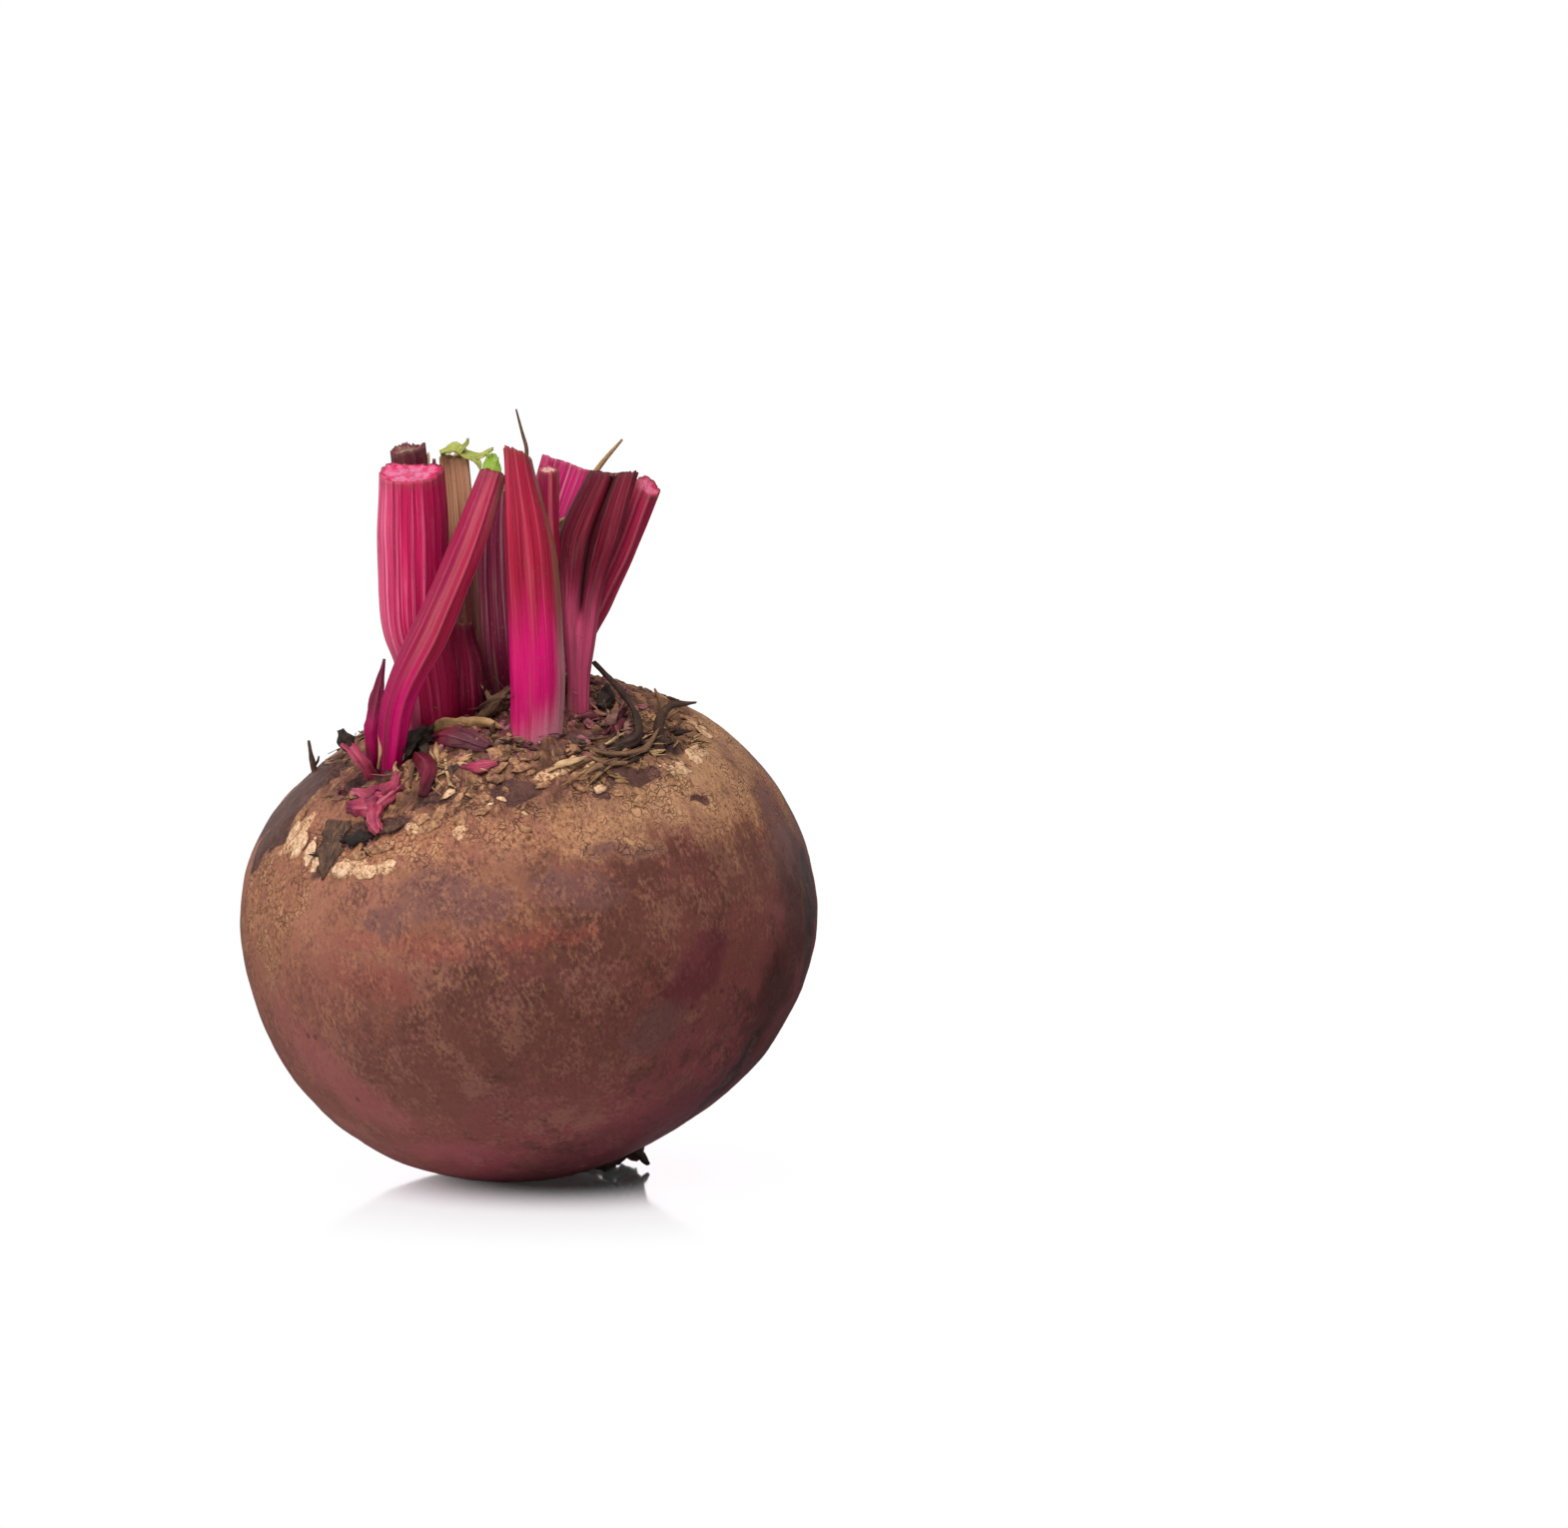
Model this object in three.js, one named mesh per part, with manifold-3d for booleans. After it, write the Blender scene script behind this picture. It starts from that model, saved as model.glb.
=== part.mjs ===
// A beetroot with its leaf stalks cut short: one swollen root, and round its crown the stalk stubs,
// cut leaf bases, dried leaf remains and loose fibres that are still on it.
// Millimetres, +Z up. The origin is the middle of the small flat under the root that it stands on.

import * as THREE from "three";
import { mergeVertices } from "three/addons/utils/BufferGeometryUtils.js";
import Module from "manifold-3d";

const wasm = await Module();
wasm.setup();

// Driving dimensions of the root
const CENTRE = new THREE.Vector3(0, 0, 40); // middle of the swollen root
const FORM_AXIS = new THREE.Vector3(-0.3, -0.14, 0.94).normalize(); // from tap root to shoulders
const ROOT_DETAIL = 13; // icosahedron divisions
const GAP = 0.3; // clearance between pieces that touch

// Radius of the root by angle from FORM_AXIS, every 20 degrees from the crown to the tap root
const RADII = [36.4, 39, 42, 44.3, 45.5, 45.8, 44, 41.7, 39.6, 39.2];
const RADIUS_CURVE = new THREE.SplineCurve(RADII.map((r, i) => new THREE.Vector2(i, r)));

// Where the root swells or dips: direction from CENTRE, height, and spread as an angle in radians
const SWELLINGS = [
  { towards: [1, 0, -0.1], height: 1.1, spread: 0.45 }, // right cheek
  { towards: [-0.96, 0, 0.28], height: 1.5, spread: 0.36 }, // left shoulder
  { towards: [-0.7, 0, 0.7], height: -0.9, spread: 0.2 }, // flat above that shoulder
  { towards: [-0.8, 0, -0.6], height: -0.7, spread: 0.3 }, // flat below it
  { towards: [0.75, 0.05, -0.75], height: -0.9, spread: 0.35 }, // flat by the tap root
  { towards: [0.3, 0.95, 0.1], height: 1.1, spread: 0.55 }, // back, right
  { towards: [-0.6, 0.8, -0.25], height: -1.3, spread: 0.5 }, // back, left
  { towards: [0.1, -1, -0.1], height: 0.9, spread: 0.5 }, // front
  { towards: [-0.1, -0.5, 0.85], height: 1.8, spread: 0.36 }, // front of the crown
  { towards: [0.45, 0.2, 0.87], height: -0.9, spread: 0.35 }, // right of the crown
  { towards: [0.14, 0.05, -1], height: 1.4, spread: 0.4 }, // underside, which the floor cuts flat
];

// The tap root, snapped off short
const TAP_ROUTE = [[11, 4.6, 13], [14, 4.8, 7.4], [16.2, 4.6, 3.6], [18, 4.4, 0.9]];
const TAP_WIDTHS = [14, 9, 5.4, 2.6];

const COLOURS = {
  skin: 0x8a5547,
  stalk: 0xb3134f,
  pink: 0xc2447c,
  wine: 0x5e1430,
  tan: 0xa07c55,
  dry: 0x4a3128,
  green: 0x8fae2c,
};

// Value at s (0 to 1) of a smooth run through evenly spaced values
function along(values, s) {
  const last = values.length - 1;
  const i = Math.min(Math.floor(s * last), last - 1);
  const t = s * last - i;
  const eased = t * t * (3 - 2 * t);
  return values[i] + (values[i + 1] - values[i]) * (last === 1 ? t : eased * 0.5 + t * 0.5);
}

function closedSolid(geometry) {
  geometry.deleteAttribute("normal");
  geometry.deleteAttribute("uv");
  const merged = mergeVertices(geometry, 1e-4);
  return new wasm.Manifold(
    new wasm.Mesh({
      numProp: 3,
      vertProperties: merged.attributes.position.array,
      triVerts: new Uint32Array(merged.index.array),
    }),
  );
}

function geometryOf(solid) {
  const mesh = solid.getMesh();
  const geometry = new THREE.BufferGeometry();
  geometry.setAttribute("position", new THREE.BufferAttribute(mesh.vertProperties, 3));
  geometry.setIndex(new THREE.BufferAttribute(mesh.triVerts, 1));
  geometry.computeVertexNormals();
  return geometry;
}

function largestBody(solid) {
  return solid.decompose().reduce((best, body) => (body.volume() > best.volume() ? body : best));
}

function rootRadius(direction) {
  const turn = direction.angleTo(FORM_AXIS) / Math.PI;
  let radius = RADIUS_CURVE.getPoint(turn).y;
  for (const { towards, height, spread } of SWELLINGS) {
    const away = direction.angleTo(new THREE.Vector3(...towards)) / spread;
    radius += height * Math.exp(-away * away);
  }
  return radius;
}

// The swollen root with no tap root, grown outwards by grow
function rootBall(grow = 0) {
  const geometry = new THREE.IcosahedronGeometry(1, ROOT_DETAIL);
  const position = geometry.attributes.position;
  const direction = new THREE.Vector3();
  for (let i = 0; i < position.count; i++) {
    direction.fromBufferAttribute(position, i).normalize();
    const point = direction.clone().multiplyScalar(rootRadius(direction) + grow).add(CENTRE);
    position.setXYZ(i, point.x, point.y, point.z);
  }
  return closedSolid(geometry);
}

// The point on the skin in the direction of x, y, z from CENTRE, lifted off it by lift
function onSkin([x, y, z], lift) {
  const direction = new THREE.Vector3(x, y, z).sub(CENTRE).normalize();
  return direction.clone().multiplyScalar(rootRadius(direction) + lift).add(CENTRE).toArray();
}

// A cylinder bent along route and pressed to a section that is convex on the side it faces, and
// hollowed by channel (0 to 1) on the other. width and depth run from foot to head. slant tips the
// cut head, as a rise per mm towards the side it faces. With lifts, each point of route is moved in
// or out until it is that far above the skin.
function shoot(
  { route, lifts, width, depth, channel = 0, faces, slant = 0, sides = 12, steps = 9 },
  grow = 0,
) {
  const points = lifts ? route.map((p, i) => onSkin(p, lifts[i])) : route;
  const path = new THREE.CatmullRomCurve3(points.map((p) => new THREE.Vector3(...p)));
  const geometry = new THREE.CylinderGeometry(1, 1, 1, sides, steps);
  const position = geometry.attributes.position;
  const outward = new THREE.Vector3(...faces);
  for (let i = 0; i < position.count; i++) {
    const s = position.getY(i) + 0.5;
    const across = position.getX(i);
    const out = position.getZ(i);
    const tangent = path.getTangentAt(s);
    const n = outward.clone().addScaledVector(tangent, -outward.dot(tangent)).normalize();
    const b = tangent.clone().cross(n);
    const u = across * (along(width, s) / 2 + grow);
    const half = along(depth, s) / 2;
    const hollow = out < 0 ? channel * half * (1 - across * across) : 0;
    const v = out * (half + grow) + hollow - (channel * half) / 3;
    const rise = slant * v * s ** 4 + grow * (2 * s - 1);
    const point = path.getPointAt(s).addScaledVector(b, u).addScaledVector(n, v);
    point.addScaledVector(tangent, rise);
    position.setXYZ(i, point.x, point.y, point.z);
  }
  return closedSolid(geometry);
}

const floorBox = closedSolid(new THREE.BoxGeometry(200, 200, 60).translate(0, 0, -30));

function root() {
  const tap = shoot({ route: TAP_ROUTE, width: TAP_WIDTHS, depth: TAP_WIDTHS, faces: [1, -1, 0] });
  return rootBall().add(tap).subtract(floorBox);
}

// The stubs of the leaf stalks, from the foot inside the root to the cut head. Front is -Y.
const STALKS = {
  stalk_left_front: {
    route: [[-14.4, -14.6, 69], [-15.4, -16.6, 79], [-16.9, -17.9, 87.5], [-17.6, -18.2, 96], [-17.8, -18, 115]],
    width: [8.4, 9.2, 11.2, 11.6, 10.6],
    depth: [5.4, 6.4, 7.4, 7.6, 7.6],
    channel: 0.5,
    faces: [-0.3, -1, 0],
    slant: -0.42,
    colour: COLOURS.stalk,
  },
  stalk_left_behind: {
    route: [[-11, -4, 70.5], [-14.6, -6, 87], [-17, -7.5, 101], [-18, -7, 117.6]],
    width: [8, 8.6, 7.6, 6.8],
    depth: [5, 6, 6, 5.6],
    channel: 0.7,
    faces: [-0.9, -0.5, 0],
    slant: -0.3,
    colour: COLOURS.wine,
  },
  stalk_tan: {
    route: [[-7, 1, 72.5], [-9, 0, 90], [-10, -2, 102.4], [-11.2, -3, 115.8]],
    width: [5, 5.4, 5.2, 4.8],
    depth: [3.6, 4, 3.8, 3.4],
    channel: 0.6,
    faces: [0.2, 1, 0],
    colour: COLOURS.tan,
  },
  stalk_slanting: {
    route: [[-21.4, -18, 64], [-19.5, -24, 79], [-13.9, -26.5, 92], [-8.3, -24.5, 105], [-5.2, -19, 115]],
    width: [2.8, 4.6, 6.4, 5.5, 3.6],
    depth: [3, 4, 4.2, 4, 3.2],
    channel: 0.4,
    faces: [-0.2, -1, 0.2],
    colour: COLOURS.pink,
  },
  stalk_centre_front: {
    route: [[2, -24, 68], [2.4, -26, 84], [1.2, -25, 104.8], [-0.5, -22.6, 118.6]],
    width: [8.2, 8.9, 8.2, 4.4],
    depth: [5, 6, 5.6, 4.2],
    channel: 0.5,
    faces: [0.05, -1, 0],
    slant: 0.25,
    colour: COLOURS.stalk,
  },
  stalk_purple: {
    route: [[-2.6, -8, 72], [-4.2, -11, 88], [-4.8, -11.5, 102], [-4.2, -11, 111.5]],
    width: [4.4, 7, 7, 5],
    depth: [4, 5, 4.6, 4],
    channel: 0.5,
    faces: [0.1, -1, 0],
    colour: COLOURS.wine,
  },
  stalk_short_inner: {
    route: [[-10.6, -12.4, 70], [-10.7, -14.2, 78], [-10.8, -14.6, 84], [-11, -14, 90.4]],
    width: [8.6, 10.4, 9.4, 5.8],
    depth: [4.4, 5, 4.6, 3],
    channel: 0.3,
    faces: [0.1, -1, 0],
    colour: COLOURS.wine,
  },
  stalk_small_inner: {
    route: [[4.2, -12, 72.5], [4.4, -14.2, 92], [4, -14, 106], [3.9, -13.4, 114.9]],
    width: [3, 3.6, 3.6, 3.2],
    depth: [2.6, 3, 3, 2.8],
    channel: 0.3,
    faces: [0.2, -1, 0],
    slant: -0.5,
    colour: COLOURS.pink,
  },
  stalk_right_behind: {
    route: [[2.4, 1, 74], [1.6, 2.6, 89], [2.6, 3.6, 102], [6.4, 5.6, 113.8]],
    width: [6, 6.4, 6.6, 8.2],
    depth: [4, 5, 4.6, 4.2],
    channel: 0.7,
    faces: [-0.1, 1, 0],
    colour: COLOURS.stalk,
  },
  stalk_right_channelled: {
    route: [[9.2, -19, 70.5], [8.8, -17.6, 86], [9, -16, 94.6], [10.6, -14, 103.4], [14.4, -10.6, 114.6]],
    width: [4, 4.2, 7, 9.2, 7.2],
    depth: [4, 4.8, 5.2, 5],
    channel: 0.8,
    faces: [0.4, 0.9, 0],
    colour: COLOURS.wine,
  },
  stalk_far_right: {
    route: [[9.8, -10.6, 73], [9.8, -11.4, 85.3], [13, -9.6, 93.8], [19.1, -6, 111.4]],
    width: [3.2, 3.4, 4, 4.6],
    depth: [2.8, 3.2, 3.8, 4.4],
    channel: 0.3,
    faces: [1, -0.3, 0],
    slant: -0.2,
    colour: COLOURS.stalk,
  },
  stalk_back_left: {
    route: [[-12.4, 6, 71.5], [-17, 9.4, 86], [-18.6, 11, 97], [-18.8, 11.6, 109]],
    width: [7, 8, 8, 7.4],
    depth: [4.4, 5.2, 5.2, 5],
    channel: 0.6,
    faces: [-0.7, 0.75, 0],
    slant: -0.2,
    colour: COLOURS.stalk,
  },
  stalk_back_middle: {
    route: [[-4, 10, 73.5], [-4.6, 15, 87], [-4, 16.4, 98], [-3, 16.6, 108.6]],
    width: [7.6, 9, 9, 8.4],
    depth: [4.6, 5.6, 5.6, 5.2],
    channel: 0.6,
    faces: [0, 1, 0],
    slant: -0.15,
    colour: COLOURS.stalk,
  },
  stalk_back_right: {
    route: [[7, 9, 74], [10.6, 13, 86], [13, 14.4, 96], [15, 14.6, 107]],
    width: [6, 7.4, 7.6, 7],
    depth: [4.2, 5, 5, 4.6],
    channel: 0.5,
    faces: [0.7, 0.75, 0],
    slant: -0.25,
    colour: COLOURS.stalk,
  },
  heart_shoot_left: {
    route: [[-4.6, -3, 73], [-5.2, -3.6, 86], [-5.2, -4.2, 97.6]],
    width: [3.4, 3.8, 2.6],
    depth: [3, 3.2, 2.2],
    faces: [-1, 0, 0],
    colour: COLOURS.pink,
  },
  heart_shoot_right: {
    route: [[0.4, -2.4, 74], [0.4, -2.6, 87], [1, -3.2, 100]],
    width: [3.4, 3.8, 2.4],
    depth: [3, 3.2, 2],
    faces: [1, 0, 0],
    colour: COLOURS.pink,
  },
};

// Short fleshy bases that leaves were cut or torn from
const LEAF_BASES = {
  base_spike_left: {
    route: [[-23.4, -16.4, 66], [-24, -20, 72.9], [-23.6, -21, 77], [-21.9, -20, 85.6]],
    width: [2.2, 3, 2.8, 0.5],
    depth: [2, 2, 1.4, 0.5],
    faces: [-0.5, -1, 0],
    sides: 10,
    steps: 7,
    colour: COLOURS.wine,
  },
  base_stub_left: {
    route: [[-23.2, -18.8, 65.6], [-25.5, -21, 69.5], [-28.1, -20, 72.4]],
    width: [2.1, 2, 2.4],
    depth: [2, 1.8, 2],
    faces: [-0.3, -0.8, 0.5],
    sides: 10,
    steps: 5,
    colour: COLOURS.wine,
  },
  base_pink_star: {
    route: [[-28.2, -22, 62], [-22, -27, 63], [-17.4, -26.2, 67.2]],
    lifts: [-0.2, 0.9, 0.3],
    width: [2.4, 7, 2.6],
    depth: [1.6, 3.4, 1.8],
    faces: [-0.5, -0.7, 0.6],
    sides: 10,
    steps: 6,
    colour: COLOURS.pink,
  },
  base_wine_curl: {
    route: [[-15.7, -30.3, 65.1], [-14.4, -27.2, 68.2], [-16.4, -22.3, 70]],
    lifts: [0, 1.4, 1],
    width: [1.6, 3.4, 2],
    depth: [1.6, 2.4, 1.6],
    faces: [-0.3, -0.6, 0.7],
    sides: 10,
    steps: 5,
    colour: COLOURS.wine,
  },
  base_pad_upper: {
    route: [[-14.3, -17.8, 72.8], [-10.8, -22.2, 72.9], [-5.2, -27.1, 72.1]],
    lifts: [-0.2, 0.7, -0.1],
    width: [2.4, 4.4, 2.4],
    depth: [1.8, 2.6, 1.6],
    faces: [-0.2, -0.6, 0.8],
    sides: 10,
    steps: 6,
    colour: COLOURS.pink,
  },
  base_pad_lower: {
    route: [[-9.4, -29, 69.4], [-6.4, -30, 69.5], [-3.6, -30.4, 70]],
    lifts: [0, 0.5, 0],
    width: [1.2, 2.8, 1.2],
    depth: [1.2, 1.8, 1.2],
    faces: [-0.2, -0.6, 0.8],
    sides: 10,
    steps: 5,
    colour: COLOURS.pink,
  },
  base_sheath_middle: {
    route: [[-9, -16.6, 73.4], [-5.3, -18.6, 77.8], [-2.2, -18, 81]],
    width: [2, 3, 2],
    depth: [1.6, 2.2, 2],
    faces: [0, -0.6, 0.8],
    sides: 10,
    steps: 6,
    colour: COLOURS.tan,
  },
};

// Dried remains of older leaves, and threads that stick up from the crown
const DRY_REMAINS = {
  dry_sheath_right: {
    route: [[11, -14, 84.3], [15.1, -17, 80.4], [17.9, -20, 76.4], [17.4, -23.6, 73], [10.6, -26, 71.6]],
    width: [1.6, 3.4, 4, 4, 2.4],
    depth: [1, 1.4, 1.6, 1.6, 1.2],
    faces: [0.8, -0.3, 0.5],
    sides: 10,
    steps: 8,
    colour: COLOURS.dry,
  },
  dry_hook_right: {
    route: [[21.4, -18.6, 71.6], [21.6, -17.8, 75.6], [23.3, -17, 77.7], [27.2, -16, 78.1]],
    width: [2.4, 1.8, 1.2, 0.5],
    depth: [1.6, 1.2, 0.8, 0.4],
    faces: [-0.4, -0.9, 0],
    sides: 8,
    steps: 7,
    colour: COLOURS.dry,
  },
  dry_thorn_right: {
    route: [[22, -12, 73.6], [21.7, -11.6, 77], [20.6, -11.4, 79.7]],
    width: [1.8, 1.2, 0.4],
    depth: [1.2, 0.9, 0.4],
    faces: [0, -1, 0],
    sides: 8,
    steps: 4,
    colour: COLOURS.tan,
  },
  dry_strip_left: {
    route: [[-28.1, -24.8, 60], [-29.8, -26.7, 56.3], [-31.3, -28.5, 51.8]],
    lifts: [0.2, 0.4, 0.1],
    width: [4.4, 4, 2],
    depth: [1.4, 1.4, 1],
    faces: [-0.6, -0.6, 0.4],
    sides: 10,
    steps: 6,
    colour: COLOURS.dry,
  },
  dry_twig_left: {
    route: [[-33.6, 3.6, 63], [-34.5, 3.6, 67.4], [-34.8, 3.6, 69.3]],
    width: [1.4, 1, 0.6],
    depth: [1, 0.8, 0.5],
    faces: [0, -1, 0],
    sides: 8,
    steps: 4,
    colour: COLOURS.dry,
  },
  thread_top: {
    route: [[0.6, -21, 119.2], [-0.1, -21, 121.8], [-1, -21, 125.3]],
    width: [0.7, 0.55, 0.45],
    depth: [0.7, 0.55, 0.45],
    faces: [0, -1, 0],
    sides: 6,
    steps: 4,
    colour: COLOURS.dry,
  },
  thread_right: {
    route: [[5.5, 0.4, 102.6], [8, 0.4, 107.7], [11.6, 0.8, 113.5], [15.4, 1, 118]],
    width: [0.8, 1, 0.9, 0.5],
    depth: [0.7, 0.8, 0.7, 0.5],
    faces: [0, -1, 0],
    sides: 8,
    steps: 8,
    colour: COLOURS.tan,
  },
};

// Scraps of green leaf left at the heads of two stalks
const LEAF_SCRAPS = {
  scrap_green_left: {
    route: [[-13.4, -4, 117.2], [-11.1, -4, 118], [-8, -4, 116.6], [-5, -4, 117.8]],
    width: [1.6, 2.6, 1.8, 0.8],
    depth: [0.8, 1, 0.8, 0.5],
    faces: [0, -0.5, 1],
    sides: 8,
    steps: 7,
    colour: COLOURS.green,
  },
  scrap_green_right: {
    route: [[-5, -16.6, 113.4], [-4.9, -15.4, 116.2], [-4.6, -15, 117.5]],
    width: [2.6, 3.2, 2.6],
    depth: [1, 1, 0.8],
    faces: [0, -1, 0],
    sides: 8,
    steps: 4,
    colour: COLOURS.green,
  },
};

// Adds each piece after cutting away the root, and the pieces before it, with a gap
const beetroot = new THREE.Group();
beetroot.name = "beetroot";

function addPiece(name, solid, colour, roughness) {
  const material = new THREE.MeshStandardMaterial({ color: colour, roughness, metalness: 0 });
  const mesh = new THREE.Mesh(geometryOf(solid), material);
  mesh.name = name;
  beetroot.add(mesh);
}

addPiece("root", root(), COLOURS.skin, 0.6);
let taken = rootBall(GAP);
for (const [name, piece] of Object.entries({
  ...STALKS,
  ...LEAF_BASES,
  ...DRY_REMAINS,
  ...LEAF_SCRAPS,
})) {
  addPiece(name, largestBody(shoot(piece).subtract(taken)), piece.colour, 0.5);
  taken = taken.add(shoot(piece, GAP));
}

export default beetroot;
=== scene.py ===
import functools
import math
import random

import bmesh
import bpy
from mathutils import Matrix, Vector, noise
from mathutils.bvhtree import BVHTree


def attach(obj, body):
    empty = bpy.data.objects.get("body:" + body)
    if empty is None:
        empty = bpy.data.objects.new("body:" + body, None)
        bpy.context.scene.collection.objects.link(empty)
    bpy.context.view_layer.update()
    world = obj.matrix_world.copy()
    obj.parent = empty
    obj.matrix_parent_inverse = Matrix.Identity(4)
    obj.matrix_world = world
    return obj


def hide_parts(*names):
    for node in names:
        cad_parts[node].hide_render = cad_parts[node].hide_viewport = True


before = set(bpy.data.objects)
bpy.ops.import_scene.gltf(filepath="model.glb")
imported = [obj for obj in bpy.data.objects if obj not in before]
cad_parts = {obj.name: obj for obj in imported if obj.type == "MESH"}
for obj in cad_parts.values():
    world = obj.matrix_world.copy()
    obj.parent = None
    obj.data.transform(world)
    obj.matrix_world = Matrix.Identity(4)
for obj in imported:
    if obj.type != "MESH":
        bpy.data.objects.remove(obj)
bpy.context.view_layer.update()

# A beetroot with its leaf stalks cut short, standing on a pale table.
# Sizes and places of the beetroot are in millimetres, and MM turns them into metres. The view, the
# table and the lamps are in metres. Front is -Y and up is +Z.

MM = 0.001

# The root
CENTRE = Vector((0, 0, 40)) * MM
FORM_AXIS = Vector((-0.3, -0.14, 0.94)).normalized()  # from the tap root to the shoulders
CROWN_AXIS = Vector((-0.05, -0.26, 0.96)).normalized()  # to the middle of the stalks
ROOT_RADIUS = 45 * MM
SKIN_CUTS = 123
SMOOTHING_ROUNDS = 4
LOW_SHIFT = 0.65 * MM  # how far the low part of the root goes to the right

# The view
VIEW_TILT = math.radians(8)
VIEW_DISTANCE = 2.0
FRAME_WIDTH = 251.2 * MM
FRAME_MIDDLE = (41.1 * MM, 65.4 * MM)  # right of the origin, and up in the picture plane


def add_object(name, data):
    thing = bpy.data.objects.new(name, data)
    bpy.context.collection.objects.link(thing)
    return thing


def camera():
    eye = add_object("camera", bpy.data.cameras.new("camera"))
    up = Vector((0, math.sin(VIEW_TILT), math.cos(VIEW_TILT)))
    back = Vector((0, -math.cos(VIEW_TILT), math.sin(VIEW_TILT)))
    eye.location = Vector((FRAME_MIDDLE[0], 0, 0)) + up * FRAME_MIDDLE[1] + back * VIEW_DISTANCE
    eye.rotation_euler = (math.pi / 2 - VIEW_TILT, 0, 0)
    eye.data.sensor_width = 36
    eye.data.lens = VIEW_DISTANCE * eye.data.sensor_width / FRAME_WIDTH
    eye.data.clip_end = 100
    bpy.context.scene.camera = eye


camera()


# Small sums

def clamp(x):
    return max(0.0, min(1.0, x))


def ease(low, high, x):
    """0 below low, 1 above high, and smooth between them."""
    t = clamp((x - low) / (high - low))
    return t * t * (3 - 2 * t)


def along(values, s):
    """Value at s, from 0 to 1, of a smooth run through evenly spaced values."""
    last = len(values) - 1
    i = min(int(s * last), last - 1)
    t = s * last - i
    eased = t if last == 1 else (t * t * (3 - 2 * t) + t) / 2
    return values[i] + (values[i + 1] - values[i]) * eased


def lumps(point, size, seed=0.0):
    """Smooth noise from -1 to 1, with lumps about size millimetres apart."""
    return noise.noise(point / (size * MM) + Vector((seed, seed * 1.7, -seed)))


def ridges(point, size, seed=0.0):
    """Noise with sharp crests near 1 and broad hollows."""
    return 1 - abs(lumps(point, size, seed)) * 2


class Route:
    """A smooth line through points, read by its share of the length."""

    STEPS = 12

    def __init__(self, points):
        knots = [Vector(p) * MM for p in points]
        ends = [knots[0] * 2 - knots[1], *knots, knots[-1] * 2 - knots[-2]]
        self.points = []
        for i in range(len(knots) - 1):
            a, b, c, d = ends[i : i + 4]
            for k in range(self.STEPS):
                t = k / self.STEPS
                bend = (2 * a - 5 * b + 4 * c - d) * t * t + (3 * b - a - 3 * c + d) * t**3
                self.points.append((2 * b + (c - a) * t + bend) / 2)
        self.points.append(knots[-1])
        self.reach = [0.0]
        for a, b in zip(self.points, self.points[1:]):
            self.reach.append(self.reach[-1] + (b - a).length)
        self.length = self.reach[-1]

    def at(self, s):
        want = clamp(s) * self.length
        i = 0
        while i < len(self.reach) - 2 and self.reach[i + 1] < want:
            i += 1
        span = self.reach[i + 1] - self.reach[i]
        return self.points[i].lerp(self.points[i + 1], (want - self.reach[i]) / span)

    def heading(self, s):
        step = 0.04
        return (self.at(min(1, s + step)) - self.at(max(0, s - step))).normalized()


# Finishes


def tone(red, green, blue):
    """A colour from the 0 to 255 scale of a paint chart, in the shader's linear scale."""
    shares = [c / 255 for c in (red, green, blue)]
    return tuple(c / 12.92 if c < 0.04045 else ((c + 0.055) / 1.055) ** 2.4 for c in shares)


class Value:
    """A number that changes over a surface. Sums on it add Math nodes."""

    def __init__(self, finish, socket):
        self.finish = finish
        self.socket = socket

    def sum(self, operation, *inputs):
        node = self.finish.node("Math", {"operation": operation}, enumerate(inputs))
        return Value(self.finish, node.outputs[0])

    def __add__(self, other):
        return self.sum("ADD", self, other)

    def __radd__(self, other):
        return self.sum("ADD", other, self)

    def __sub__(self, other):
        return self.sum("SUBTRACT", self, other)

    def __rsub__(self, other):
        return self.sum("SUBTRACT", other, self)

    def __mul__(self, other):
        return self.sum("MULTIPLY", self, other)

    def __rmul__(self, other):
        return self.sum("MULTIPLY", other, self)

    def __truediv__(self, other):
        return self.sum("DIVIDE", self, other)

    def most(self, other):
        return self.sum("MAXIMUM", self, other)

    def step(self, low, high):
        """0 below low, 1 above high, and smooth between them."""
        settings = {"interpolation_type": "SMOOTHSTEP"}
        inputs = {"Value": self, "From Min": low, "From Max": high}
        node = self.finish.node("MapRange", settings, inputs.items())
        return Value(self.finish, node.outputs["Result"])


class Nodes:
    """A tree of shader nodes."""

    def __init__(self, tree):
        self.nodes = tree.nodes
        self.links = tree.links

    def node(self, kind, settings=None, inputs=()):
        """Adds a shader node: its settings first, a ramp's stops among them, then its sockets."""
        node = self.nodes.new("ShaderNode" + kind)
        for key, value in (settings or {}).items():
            if key == "stops":
                ramp = node.color_ramp.elements
                for i, (place, colour) in enumerate(value):
                    stop = ramp[i] if i < 2 else ramp.new(place)
                    stop.position = place
                    stop.color = (*colour, 1)
            else:
                setattr(node, key, value)
        for socket, value in inputs:
            value = getattr(value, "socket", value)
            if isinstance(value, bpy.types.NodeSocket):
                self.links.new(value, node.inputs[socket])
            elif isinstance(value, tuple) and node.inputs[socket].type == "RGBA":
                node.inputs[socket].default_value = (*value, 1)
            else:
                node.inputs[socket].default_value = value
        return node

    def vectors(self, operation, *inputs):
        return self.node("VectorMath", {"operation": operation}, enumerate(inputs)).outputs

    def dot(self, place, direction):
        return Value(self, self.vectors("DOT_PRODUCT", place, tuple(direction))["Value"])


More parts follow.
